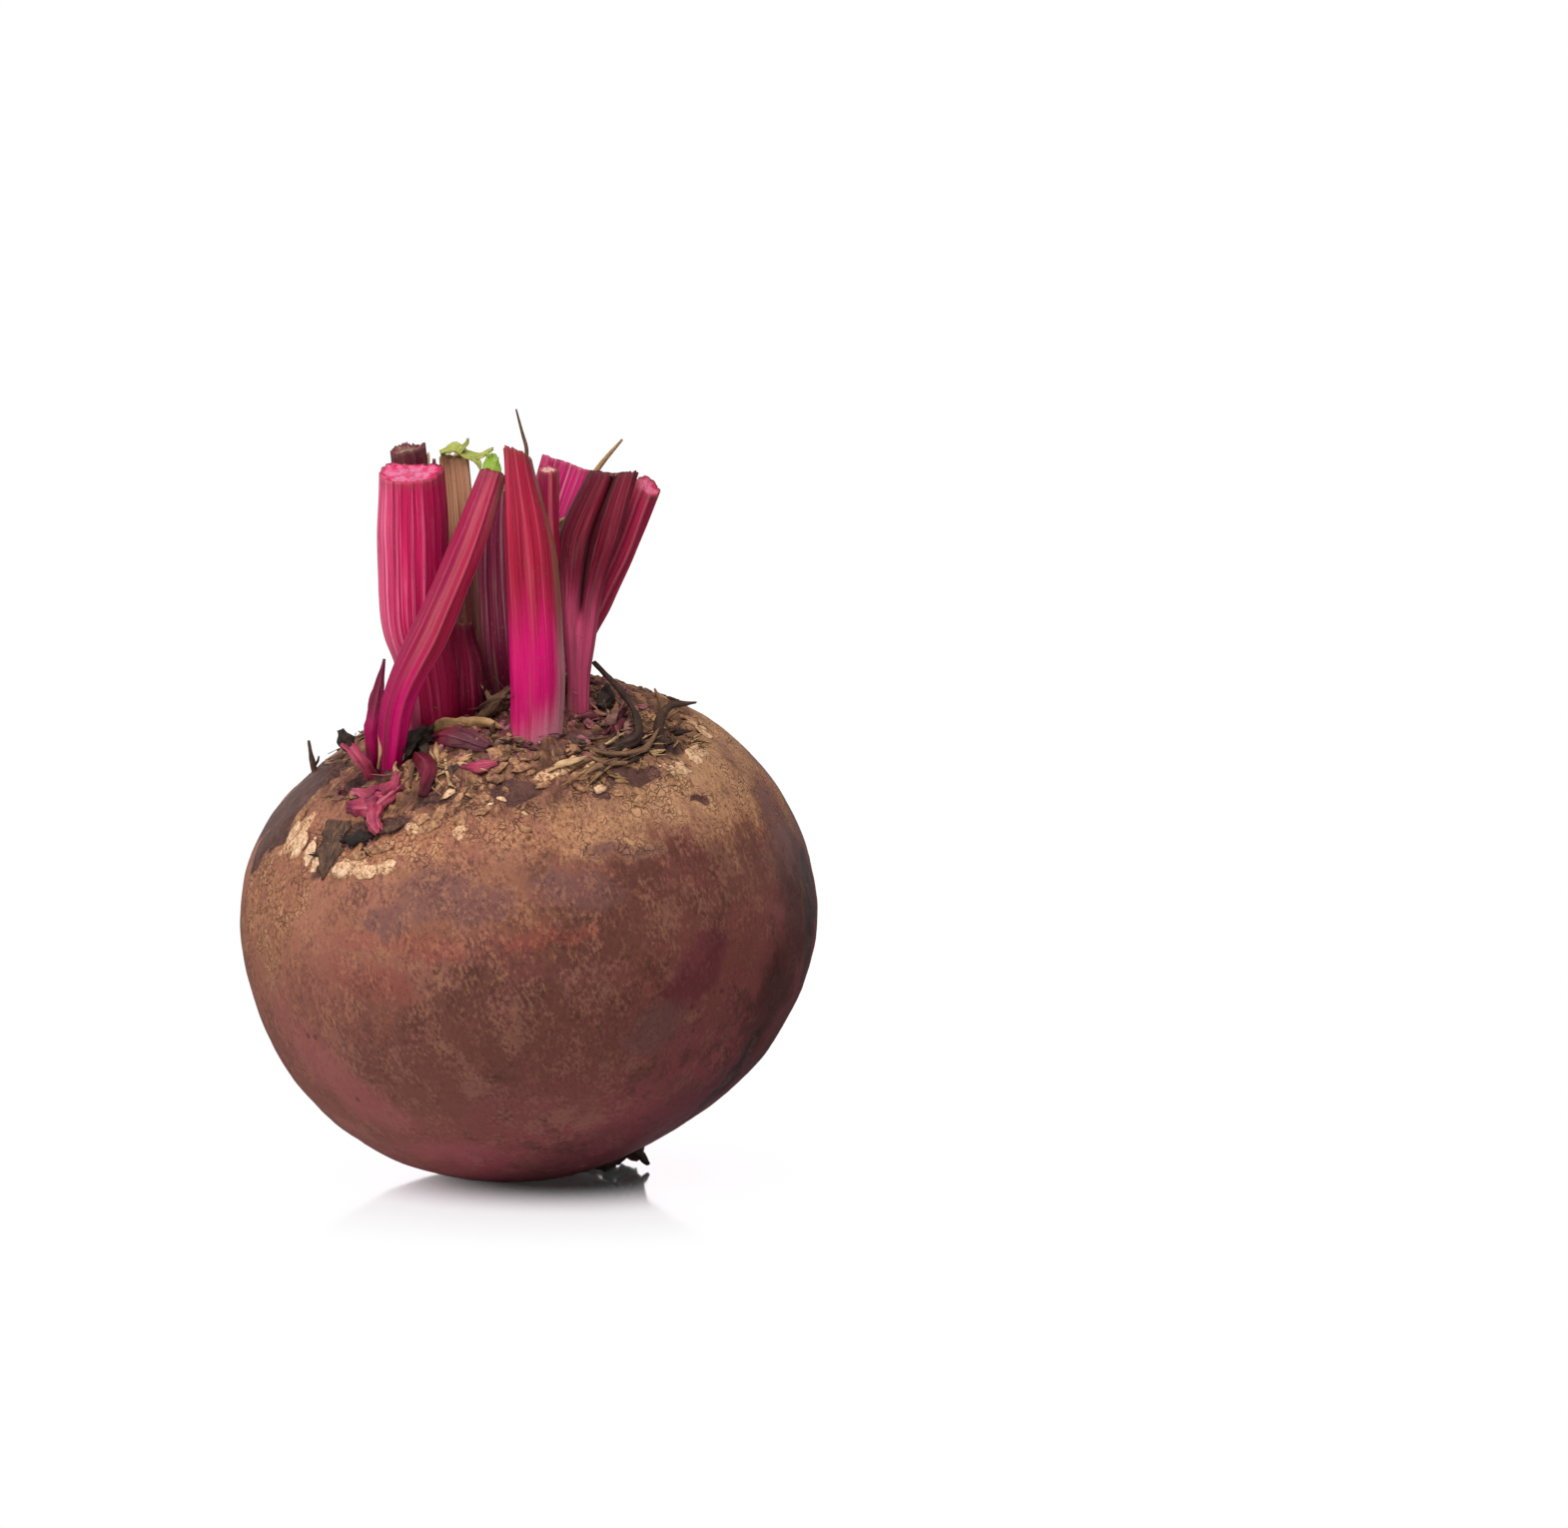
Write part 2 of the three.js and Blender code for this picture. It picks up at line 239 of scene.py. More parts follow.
class Finish(Nodes):
    """A material of nodes, ending in one Principled shader."""

    def __init__(self, name, **constants):
        self.material = bpy.data.materials.new(name)
        self.material.use_nodes = True
        super().__init__(self.material.node_tree)
        self.shader = self.nodes["Principled BSDF"]
        for socket, value in constants.items():
            self.shader.inputs[socket.replace("_", " ")].default_value = value
        self.object_place = self.node("TexCoord").outputs["Object"]

    def kept(self, name):
        """The numbers or vectors that the mesh keeps under this name."""
        return self.node("Attribute", {"attribute_name": name})

    def parts(self, name):
        """The three numbers that the mesh keeps together under this name."""
        split = self.node("SeparateXYZ", None, [(0, self.kept(name).outputs["Vector"])])
        return [Value(self, socket) for socket in split.outputs]

    def stretched(self, place, scale):
        return self.vectors("MULTIPLY", place, scale)[0]

    def noise(self, place, scale, detail=3.0, roughness=0.55):
        inputs = [("Vector", place), ("Scale", scale), ("Detail", detail), ("Roughness", roughness)]
        return Value(self, self.node("TexNoise", None, inputs).outputs[0])

    def cells(self, place, scale, feature="F1"):
        inputs = [("Vector", place), ("Scale", scale)]
        node = self.node("TexVoronoi", {"feature": feature}, inputs)
        return Value(self, node.outputs["Distance"])

    def ramp(self, value, stops):
        stops = [(place, tone(*colour)) for place, colour in stops]
        return self.node("ValToRGB", {"stops": stops}, [(0, value)]).outputs[0]

    def mix(self, share, first, second):
        """Mixes two colours. Each is a socket, or red, green and blue as in tone."""
        first, second = [tone(*c) if isinstance(c, tuple) else c for c in (first, second)]
        inputs = [(0, share), (6, first), (7, second)]
        return self.node("Mix", {"data_type": "RGBA"}, inputs).outputs[2]

    def paint(self, share, colour):
        """Lays a colour over the finish so far, by its share."""
        self.colour = self.mix(share, self.colour, colour)

    def end(self, roughness, height, depth):
        """Sends the colour, the roughness and a bump of depth millimetres to the shader."""
        self.links.new(self.colour, self.shader.inputs["Base Color"])
        self.links.new(roughness.socket, self.shader.inputs["Roughness"])
        bump = self.node("Bump", None, [("Height", height), ("Distance", depth * MM)])
        self.links.new(bump.outputs[0], self.shader.inputs["Normal"])
        return self.material


# Pieces


def to_mesh(name, bm):
    """Turns a bmesh into a mesh, and frees it."""
    mesh = bpy.data.meshes.new(name)
    bm.to_mesh(mesh)
    bm.free()
    return mesh


def add_piece(name, bm, material, replaces=None):
    """Adds a bmesh as a smooth piece of the beetroot."""
    mesh = to_mesh(name, bm)
    mesh.shade_smooth()
    mesh.materials.append(material)
    piece = add_object(name, mesh)
    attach(piece, "root")
    if replaces:
        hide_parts(replaces)
    return piece


# The skin of the root

# Marks on the skin by kind: where, half the length, half the width, and the turn in degrees from level
MARKS = {
    "cork": [
        ((-39, -20, 50), 13, 9, 80), ((-24, -32, 58), 16, 6.6, 10), ((2, -36, 64), 20, 7.4, 0),
        ((26, -25, 65), 14, 9, -25), ((7, -39.5, 60), 15, 3, -6), ((24, -16, 71.5), 10, 6, -30),
        ((-43, -11, 45), 8, 5, 85), ((32, -18, 64), 10, 7, -55), ((36, -6, 64), 9, 6, -65),
        ((29, -2, 71), 11, 7, -40), ((-40, 14, 56), 16, 9, 80), ((-10, 33, 66), 24, 10, 0),
        ((32, 16, 62), 18, 10, 60),
    ],
    "cream": [
        ((-36, -17, 57), 5, 2.4, 70), ((-27, -31, 53.6), 4, 1.6, 6), ((-22, -35, 54), 3, 1.2, 6),
        ((-10, -37, 60.4), 1.6, 1.4, 30), ((6.6, -31, 69.8), 5.4, 1.7, 14), ((-16, -33.5, 61), 2, 1, 20),
        ((27, -17, 70), 2.6, 1.2, -30), ((23, -24, 69), 2.4, 1, -15), ((27, -8, 74), 2.4, 0.9, -50),
        ((-24, 26, 62), 4, 2, 20), ((8, 34, 66), 4, 2, -20),
    ],
    # The dark marks at (44.5, -9, 42) and (45, -6, 48) are painted shade down the right edge.
    "dark": [
        ((-36, -5, 62), 12, 5.4, 57), ((-36, -9, 60.6), 6, 3.6, 60), ((44.5, -9, 42), 9, 3, 88),
        ((45, -6, 48), 6, 4, 88), ((12, -6, 1.6), 7, 3.4, 0), ((-41, -9, 55), 6, 3, 66),
        ((-30, -27, 56), 5.2, 1.9, 66), ((-24, -29, 59.5), 5, 1.8, 0), ((-34, 3, 65), 7, 4.5, 40),
        ((-23, -19, 67), 6, 3, 30), ((-14, -31, 64.5), 4, 1.6, 20), ((-19.7, -31, 60.7), 3, 1.8, 20),
        ((-38.5, -13, 57.5), 5, 1.6, 75), ((18, -21, 73), 9, 3.4, -20), ((32, -19, 19), 9, 2.6, 80),
        ((14, 24, 70), 8, 3, 10),
    ],
    "lilac": [
        ((-14, -41, 51.5), 6.5, 5, 12), ((-21, -39, 46.5), 4.5, 3, 0), ((9, -42, 52), 8, 3, -8),
        ((15, -37, 57.5), 7, 1.5, -6), ((-7, -43, 50), 6, 3.6, 0), ((21, -40, 30), 6, 4, 30),
        ((39, -12, 59), 9, 5, 65), ((17, 40, 46), 12, 6, 30),
    ],
    "red": [
        ((-26, -37, 43), 6, 1.8, 0), ((-15, -43, 43), 8, 2.2, -4), ((-24, -38, 37), 9, 3, -10),
        ((4, -46, 45), 9, 2, 8), ((-28, 34, 42), 10, 4, 0),
    ],
    "wine": [
        ((27, -37, 38), 8, 4, 46), ((-31, -28, 20), 16, 5, -42), ((-12, -28, 7.5), 8, 4, 0),
        ((20, 34, 20), 18, 6, 10),
    ],
    # Brown marks lie down the right side: partly the skin's own dark brown, partly painted shade there.
    "brown": [
        ((43, -14, 47), 13, 7, 85), ((39, -14, 58), 6, 3.6, 70), ((40, -20, 33), 12, 6, 75),
    ],
    "scar": [
        ((-1, -34, 66.5), 4.4, 2.6, -8), ((17.6, -28.4, 68.4), 4.8, 2, -10),
        ((28.2, -25.5, 63.8), 1.7, 0.8, -10), ((12, -32, 65), 1.6, 0.8, 0), ((-16, -17, 72), 3.4, 2.6, 0),
        ((13.4, -17.4, 76.4), 3, 2, 0), ((8.6, -24.6, 73.6), 2.4, 1.6, 0), ((-20, 20, 69), 3, 2, 0),
    ],
}
TO_CROWN = Vector((0, 0, 1)).rotation_difference(CROWN_AXIS)
SCALE_LEVEL = 0.35  # taken from the scars of old leaves, so that zero is between crest and dip


def mark_frame(place, turn):
    """The middle of a mark as a direction, and the directions of its length and width."""
    out = (Vector(place) * MM - CENTRE).normalized()
    level = Vector((0, 0, 1)).cross(out).normalized()
    rise = out.cross(level)
    angle = math.radians(turn)
    length = level * math.cos(angle) + rise * math.sin(angle)
    return out, length, out.cross(length)


def marks_at(direction, point, frames):
    """How much of each kind of mark is at a point of the skin."""
    amounts = dict.fromkeys(MARKS, 0.0)
    wander = Vector((lumps(point, 3.2, 5), lumps(point, 3.2, 9), lumps(point, 3.2, 13))) * 1.6
    for kind, half_length, half_width, out, length, width in frames:
        if direction.dot(out) < 0.6:
            continue
        offset = (direction - out) * (ROOT_RADIUS / MM) + wander
        reach = math.hypot(offset.dot(length) / half_length, offset.dot(width) / half_width)
        amounts[kind] = max(amounts[kind], ease(1.5, 0.5, reach))
    return amounts


def tilt_from_crown(direction, point):
    """The angle down from the crown axis, with a wander. It is less on the left, where scraps reach
    lower."""
    lower = 6 * ease(10, 26, -point.x / MM)
    return math.degrees(direction.angle(CROWN_AXIS)) + 2.5 * lumps(point, 6, 11) - lower


def round_the_crown(direction, point):
    """Where a direction lies round the crown axis, as a unit vector, and its angle down from it."""
    local = TO_CROWN.inverted() @ direction
    around = math.atan2(local.y, local.x) + 0.06 * lumps(point, 5, 51)
    return Vector((math.cos(around), math.sin(around), math.degrees(direction.angle(CROWN_AXIS))))


def scales(polar, point):
    """The scars of old leaves: a crest in the middle of each and a dip between them."""
    down = polar.z / 3.4 + lumps(point, 4, 41) * 0.6
    near = noise.voronoi(Vector((polar.x * 4.6, polar.y * 4.6, down)))
    return near[0][1] - near[0][0] - SCALE_LEVEL


def relief(polar, point, marks, ring, crown, scale):
    """How far the skin stands off the smooth root, in millimetres."""
    rise = 0.28 * lumps(point, 13) + 0.12 * lumps(point, 5, 2)
    streak = point - FORM_AXIS * point.dot(FORM_AXIS) * 0.75
    rise += 0.05 * ridges(streak, 1.6, 4) * (1 - ring)
    cork = max(marks["cork"] * 0.6, marks["cream"], ring)
    rise += cork * (0.14 * ridges(point, 2.6, 7) + 0.1 * ridges(point, 1.1, 3))
    rise += marks["cream"] * 0.35 - marks["scar"] * 0.5 - marks["dark"] * 0.15
    rise += ring * (1.1 * scale + 0.25 * lumps(point, 1.6, 8))
    rise += crown * (0.9 * lumps(point, 3.4, 31) + 0.5 * ridges(point, 1.5, 17))
    fibrous = noise.noise(Vector((polar.x * 26, polar.y * 26, polar.z / 9)))
    rise += max(ring, crown) * 0.35 * (0.7 - 2 * abs(fibrous))
    return rise


def skin_mesh():
    """A ball of even squares, closer at the crown, pressed out to the root and moved a little to the
    right in its low part."""
    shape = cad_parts["root"]
    place = shape.matrix_world
    smooth_root = BVHTree.FromPolygons(
        [place @ v.co for v in shape.data.vertices], [p.vertices for p in shape.data.polygons]
    )
    bm = bmesh.new()
    bmesh.ops.create_cube(bm, size=2)
    bmesh.ops.subdivide_edges(bm, edges=bm.edges[:], cuts=SKIN_CUTS, use_grid_fill=True)
    for v in bm.verts:
        even = Vector([math.tan(c * math.pi / 4) for c in v.co]).normalized()
        turn = math.acos(max(-1, min(1, even.z)))
        closer = turn * (0.58 + 0.42 * turn / math.pi)
        flat = Vector((even.x, even.y, 0))
        if flat.length > 0:
            flat.normalize()
        direction = TO_CROWN @ (flat * math.sin(closer) + Vector((0, 0, math.cos(closer))))
        v.co = smooth_root.ray_cast(CENTRE, direction)[0]
    for _ in range(SMOOTHING_ROUNDS):
        bmesh.ops.smooth_vert(
            bm, verts=bm.verts, factor=0.5, use_axis_x=True, use_axis_y=True, use_axis_z=True
        )
    for v in bm.verts:
        z = v.co.z / MM
        on_right = ease(-20, 20, v.co.x / MM)
        low_right = on_right * ease(0, 5, z) * ease(27, 20, z)
        low_left = (1 - on_right) * ease(9, 14, z) * ease(44, 26, z)
        v.co.x += LOW_SHIFT * (low_right + low_left)
    return bm


def skin():
    bm = skin_mesh()
    kept = [bm.verts.layers.float_vector.new(f"marks_{i}") for i in range(3)]
    form = bm.verts.layers.float_vector.new("form")
    radial = bm.verts.layers.float_vector.new("radial")
    frames = [(kind, a, b, *mark_frame(p, t)) for kind, own in MARKS.items() for p, a, b, t in own]
    for v in bm.verts:
        direction = (v.co - CENTRE).normalized()
        point = v.co.copy()
        marks = marks_at(direction, point, frames)
        tilt = tilt_from_crown(direction, point)
        crown = ease(27, 20, tilt)
        ring = ease(47, 38, tilt) * (1 - marks["scar"])
        polar = round_the_crown(direction, point)
        scale = scales(polar, point) if ring > 0 else 0.0
        rise = relief(polar, point, marks, ring, crown, scale)
        v.co += direction * rise * MM * ease(0.2, 4, point.z / MM)
        v.co.z = max(v.co.z, 0)
        amounts = [*marks.values(), crown]
        for i, layer in enumerate(kept):
            v[layer] = amounts[3 * i : 3 * i + 3]
        v[form] = (ring, scale + SCALE_LEVEL, 0)
        v[radial] = (polar.x, polar.y, polar.z / 60)
    skin_tree = BVHTree.FromBMesh(bm)
    add_piece("root_skin", bm, skin_finish(), "root")
    return skin_tree


def on_skin(place, lift):
    """The point of the skin out from the middle through a place, raised by a lift, in millimetres."""
    direction = (Vector(place) * MM - CENTRE).normalized()
    return (SKIN.ray_cast(CENTRE, direction)[0] + direction * lift * MM) / MM


def skin_finish():
    f = Finish("root_skin", Specular_IOR_Level=0.14)
    place = f.object_place
    cork, cream, dark = f.parts("marks_0")
    lilac, red, wine = f.parts("marks_1")
    brown, scar, crown = f.parts("marks_2")
    ring, scale, _ = f.parts("form")
    height = (f.dot(place, FORM_AXIS) - CENTRE.dot(FORM_AXIS)) / ROOT_RADIUS
    grain = f.node("Mapping", {"vector_type": "TEXTURE"}, [
        ("Vector", place), ("Rotation", (-0.15, -0.31, 0)), ("Scale", (1, 1, 1.6))]).outputs[0]
    broad = f.noise(place, 38, 4)
    blotch = f.noise(place, 130, 5, 0.6)
    patch = f.noise(grain, 420, 4, 0.6)
    fleck = f.noise(grain, 1700, 4, 0.65)
    dust = f.noise(place, 3600, 3, 0.6)
    edge = (blotch - 0.5) * 1.1 + (patch - 0.5) * 0.7 + (fleck - 0.5) * 0.3
    side = f.dot(place, (-1 / ROOT_RADIUS, 0, 0))
    level = height + side * 0.25 + (broad - 0.5) * 0.6 + edge * 0.36
    f.colour = f.ramp(level * 0.5 + 0.5, [
        (0.02, (96, 34, 44)),
        (0.14, (129, 57, 65)),
        (0.28, (120, 64, 60)),
        (0.44, (103, 59, 50)),
        (0.58, (93, 54, 46)),
        (0.7, (127, 79, 61)),
        (0.82, (148, 99, 72)),
    ])
    mauve = (f.noise(place, 85, 4, 0.6) + (patch - 0.5) * 0.5).step(0.47, 0.64)
    f.paint(mauve * 0.35, (124, 66, 66))
    sooty = (f.noise(place, 95, 5, 0.7) + (patch - 0.5) * 0.7).step(0.5, 0.68)
    f.paint(sooty * 0.6, (66, 38, 32))
    ashy = (f.noise(grain, 150, 5, 0.65) + (fleck - 0.5) * 0.6).step(0.5, 0.66)
    f.paint(ashy * 0.35, (150, 104, 86))
    f.paint((red + edge * 1.8 + (fleck - 0.5) * 0.8).step(0.35, 1) * 0.54, (130, 62, 54))
    smooth_wine = (wine + edge * 1.3).step(0, 1.15)
    # The wine patches turn darker on the right side of the root: painted shade.
    wine_with_shade_on_right = f.mix(side.step(-0.2, -0.5), (142, 70, 78), (92, 34, 48))
    f.paint(smooth_wine * 0.65, wine_with_shade_on_right)
    # Painted light: the root turns lighter towards its left edge.
    f.paint(side.step(0, 0.9) * 0.42, (150, 92, 80))
    # Painted shade: the low right part of the root darkens towards dark purple.
    painted_shade_low_right = (side * -0.3 - height * 1.6 + edge * 0.3).step(0.86, 1.2)
    f.paint(painted_shade_low_right * 0.6, (68, 32, 40))
    # Brown marks down the right side: partly the skin's own dark brown, partly painted shade on that
    # side.
    f.paint((brown + edge * 1.2).step(0, 1.1) * 0.7, (50, 24, 24))
    corky = (cork + edge * 1.2 + ring * 0.4).step(0.12, 1.1)
    cork_colour = f.ramp(fleck * 0.4 + patch * 0.25 + dust * 0.15 + blotch * 0.2, [
        (0.38, (86, 50, 36)), (0.45, (144, 94, 65)),
        (0.53, (182, 130, 96)), (0.62, (214, 172, 134))])
    rosy = (f.noise(place, 240, 4, 0.6) + (broad - 0.5) * 0.5).step(0.465, 0.59)
    cork_colour = f.mix(rosy * 0.78, cork_colour, (142, 89, 74))
    # Painted light: the cork on the upper right side of the root is lighter.
    painted_light_upper_right = side.step(0.1, -0.7) * height.step(0.15, 0.5)
    cork_colour = f.mix(painted_light_upper_right * 0.65, cork_colour, (208, 162, 120))
    cork_colour = f.mix(side.step(0.3, 0.9) * 0.3, cork_colour, (134, 86, 62))
    f.paint(corky * 0.8, cork_colour)
    f.paint((lilac * 1.2 + edge * 0.7 - 0.1).step(0.1, 1.1) * 0.76, (108, 70, 66))
    rough_zone = (1 - smooth_wine * 0.6) * (0.6 + 0.4 * level.step(-0.1, 0.6))
    light = (fleck * 0.5 + patch * 0.5).step(0.49, 0.62) * rough_zone
    f.paint(light * 0.42, f.mix(level.step(-0.6, 0.5), (136, 80, 72), (176, 122, 88)))
    dim = (fleck * 0.45 + dust * 0.3 + blotch * 0.25).step(0.49, 0.4) * rough_zone
    f.paint(dim * 0.55, (62, 34, 28))
    warp = f.node("TexNoise", None, [("Vector", place), ("Scale", 500), ("Detail", 2)])
    bent = f.vectors("MULTIPLY_ADD", warp.outputs["Color"], (0.003, 0.003, 0.003), place)[0]
    net = f.cells(bent, 820, "DISTANCE_TO_EDGE")
    crack = (0.1 - net).step(0, 0.08) * (corky * 0.85 + 0.12) * (blotch + patch - 1).step(-0.08, 0.16)
    f.paint(crack * 0.6, (70, 42, 30))
    creamy = (cream + edge * 0.7).step(0.35, 0.65)
    cream_colour = f.ramp(fleck * 0.6 + dust * 0.4, [
        (0.4, (110, 70, 46)), (0.47, (176, 130, 92)), (0.56, (222, 184, 148))])
    f.paint(creamy * 0.9, cream_colour)
    crest = (scale + (fleck - 0.5) * 0.3).step(0.05, 0.5)
    scaly = f.mix(crest, (48, 30, 25), f.mix(patch.step(0.42, 0.6), (112, 76, 54), (164, 120, 84)))
    scaly = f.mix(f.noise(place, 190, 4).step(0.48, 0.6) * 0.6, scaly, (112, 64, 64))
    fibrous = f.noise(f.stretched(f.kept("radial").outputs["Vector"], (15, 15, 5)), 2, 4, 0.65)
    grooved = (fibrous + edge * 0.15).step(0.49, 0.38)
    scaly = f.mix(grooved * 0.75, scaly, (52, 33, 27))
    scaly = f.mix((fibrous + edge * 0.15).step(0.53, 0.66) * 0.6, scaly, (184, 140, 100))
    f.paint(ring * 0.75 * (1 - creamy), scaly)
    f.paint(crack * ring * 0.7, (56, 34, 27))
    dark_colour = f.ramp(fleck * 0.5 + patch * 0.5, [
        (0.38, (33, 20, 20)), (0.5, (60, 38, 38)), (0.62, (98, 68, 60))])
    # Dark marks; the two down the right edge are painted shade.
    f.paint((dark + edge * 0.7).step(0.35, 0.7) * 0.85, dark_colour)
    bed = f.ramp(blotch * 0.4 + fleck * 0.6, [
        (0.4, (38, 23, 20)), (0.47, (88, 54, 44)), (0.54, (132, 88, 62)), (0.62, (176, 132, 90))])
    bed = f.mix(f.noise(place, 230, 4).step(0.48, 0.58) * 0.65, bed, (108, 50, 60))
    bed = f.mix(grooved * 0.5, bed, (40, 24, 20))
    f.paint(crown.step(0.2, 0.8), bed)
    scar_colour = f.ramp(patch, [(0.35, (50, 30, 30)), (0.65, (96, 62, 60))])
    f.paint((scar + edge * 0.6).step(0.3, 0.6) * 0.9, scar_colour)
    spots = f.cells(place, 210)
    speck = (0.13 - spots).step(0, 0.05) * (f.noise(place, 60) - 0.45).step(0, 0.1)
    f.paint(speck * 0.5, (62, 40, 34))
    roughness = 0.52 + corky * 0.2 + (fleck - 0.5) * 0.4 + crown * 0.15 - smooth_wine * 0.12
    bumps = fleck * (0.3 + corky * 0.5) + patch * 0.5 + dust * 0.12 - crack * 0.7 + ring * fibrous
    return f.end(roughness, bumps * rough_zone, 0.3)


# Stalks and everything else that grows from the crown, made as bent rods. A piece says:
# route, width and depth, from its foot to its head; lifts, how far each place of the route is off
# the skin; faces, where its front is; channel, how hollow its back is; square, under 1 for a
# squarer section; ribs and rib_height; clefts, each with its bearing, depth, spread and start;
# crumple and wobble, coarse and broad unevenness; twist in degrees; slant and lean, how its head
# slopes to the front and sideways; tear, how ragged the head is; pith, how deep the cut face
# sinks; tint, from 0 for dark to 1 for light; arms, which are further rods.


@functools.cache
def rod(sides, rings, cap_rings):
    """An upright rod one unit high and two wide, with rings along it and over both ends."""
    bm = bmesh.new()
    bm.verts.layers.float_vector.new("place")
    bm.verts.layers.float_vector.new("ribs")
    bmesh.ops.create_cone(bm, cap_ends=True, segments=sides, radius1=1, radius2=1, depth=1)
    bmesh.ops.translate(bm, verts=bm.verts, vec=(0, 0, 0.5))
    caps = [f for f in bm.faces if len(f.verts) == sides]
    long_edges = [e for e in bm.edges if abs(e.verts[0].co.z - e.verts[1].co.z) > 0.5]
    bmesh.ops.subdivide_edges(bm, edges=long_edges, cuts=rings)
    for cap in caps:
        for _ in range(cap_rings):
            bmesh.ops.inset_region(bm, faces=[cap], thickness=0.95 / (cap_rings + 1))
        bmesh.ops.poke(bm, faces=[cap])
    return to_mesh("rod", bm)


@functools.cache
def ball(fineness):
    """A ball of radius one."""
    bm = bmesh.new()
    bmesh.ops.create_icosphere(bm, subdivisions=fineness, radius=1)
    return to_mesh("ball", bm)


def add_copy(bm, mesh):
    """Adds a copy of a mesh and returns its points."""
    first = len(bm.verts)
    bm.from_mesh(mesh)
    bm.verts.ensure_lookup_table()
    return bm.verts[first:]


def grow(bm, piece, seed, sides=24, rings=24, cap_rings=3):
    """Adds a rod bent along the piece's route, with its section, ribs and cut head. The seed gives it
    its own unevenness."""
    stops = piece["route"]
    if "lifts" in piece:
        stops = [on_skin(p, lift) for p, lift in zip(stops, piece["lifts"])]
    route = Route(stops)
    long = route.length / MM
    faces = Vector(piece["faces"])
    ribs = piece.get("ribs", 0)
    rib_height = piece.get("rib_height", 0.2)
    channel = piece.get("channel", 0)
    crumple = piece.get("crumple", 0)
    wobble = piece.get("wobble", 0.25)
    tear = piece.get("tear", 0.3)
    square = piece.get("square", 1)
    twist = math.radians(piece.get("twist", 0))
    verts = add_copy(bm, rod(sides, rings, cap_rings))
    places = bm.verts.layers.float_vector["place"]
    rib_layer = bm.verts.layers.float_vector["ribs"]
    for v in verts:
        x, y, s = v.co
        radius = min(1, math.hypot(x, y))
        angle = math.atan2(y, x)
        turn = Vector((math.cos(angle), math.sin(angle), 0))
        x, y = [math.copysign(abs(c) ** square, c) * radius for c in turn.xy]
        centre = route.at(s)
        tangent = route.heading(s)
        n = (faces - tangent * faces.dot(tangent)).normalized()
        b = tangent.cross(n)
        if twist:
            n, b = [
                n * math.cos(twist * s) + b * math.sin(twist * s),
                b * math.cos(twist * s) - n * math.sin(twist * s),
            ]
        width = along(piece["width"], s)
        half = along(piece["depth"], s) / 2
        side = math.sqrt(max(1e-6, 1 - min(1, x * x)))
        hollow = channel * half * side * side * min(1, -y / side) if y < 0 else 0
        u = x * width / 2
        w = y * half + hollow - channel * half / 3
        phase = ribs * angle + 2.6 * noise.noise(turn * 1.5 + Vector((seed, 0, s * 0.5)))
        ridge = (0.5 + 0.5 * math.cos(phase)) ** 3 if ribs else 0.5
        push = rib_height * (ridge - 0.75) * ease(0, 0.15, s) * (1 if y > -0.2 else 0.5) if ribs else 0
        push += wobble * (noise.noise(turn * 1.2 + Vector((seed, 0, s * long / 9))) - 0.25)
        for bearing, deep, spread, start in piece.get("clefts", []):
            off = (math.degrees(angle) - bearing + 180) % 360 - 180
            cleft = deep * math.exp(-((off / spread) ** 2)) * ease(start, start + 0.2, s)
            push -= cleft
            ridge -= cleft
        if crumple:
            at = turn + Vector((seed, 0, s * long / 2.2))
            push += crumple * (noise.noise(at) + 0.5 * noise.noise(at * 2.3))
        away = Vector((u, w))
        size = away.length
        if size > 0:
            grown = 1 + push * radius * min(1, size) / size
            u *= grown
            w *= grown
        rise = (piece.get("slant", 0) * w + piece.get("lean", 0) * u) * s**4
        head = ease(0.88, 1, s)
        rise += head * tear * noise.noise(turn * 2.2 + Vector((0, seed, 3)))
        rise += head * tear * 0.8 * noise.noise(turn * 7 + Vector((0, seed, 5)))
        cut = 0.0
        if s > 0.999 and radius < 0.99:
            cut = 1.0
            rise -= piece.get("pith", 0.5) * (1 - radius**4)
            rise += 0.35 * noise.noise(Vector((u * 1.3 + seed, w * 1.3, 0)))
        v[places] = (x, y, s)
        v[rib_layer] = (ridge if ribs else piece.get("tint", 0.5), cut, radius)
        v.co = centre + (b * u + n * w + tangent * rise) * MM


def add_growth(name, bm, material, replaces=None):
    bmesh.ops.recalc_face_normals(bm, faces=bm.faces)
    add_piece(name, bm, material, replaces)


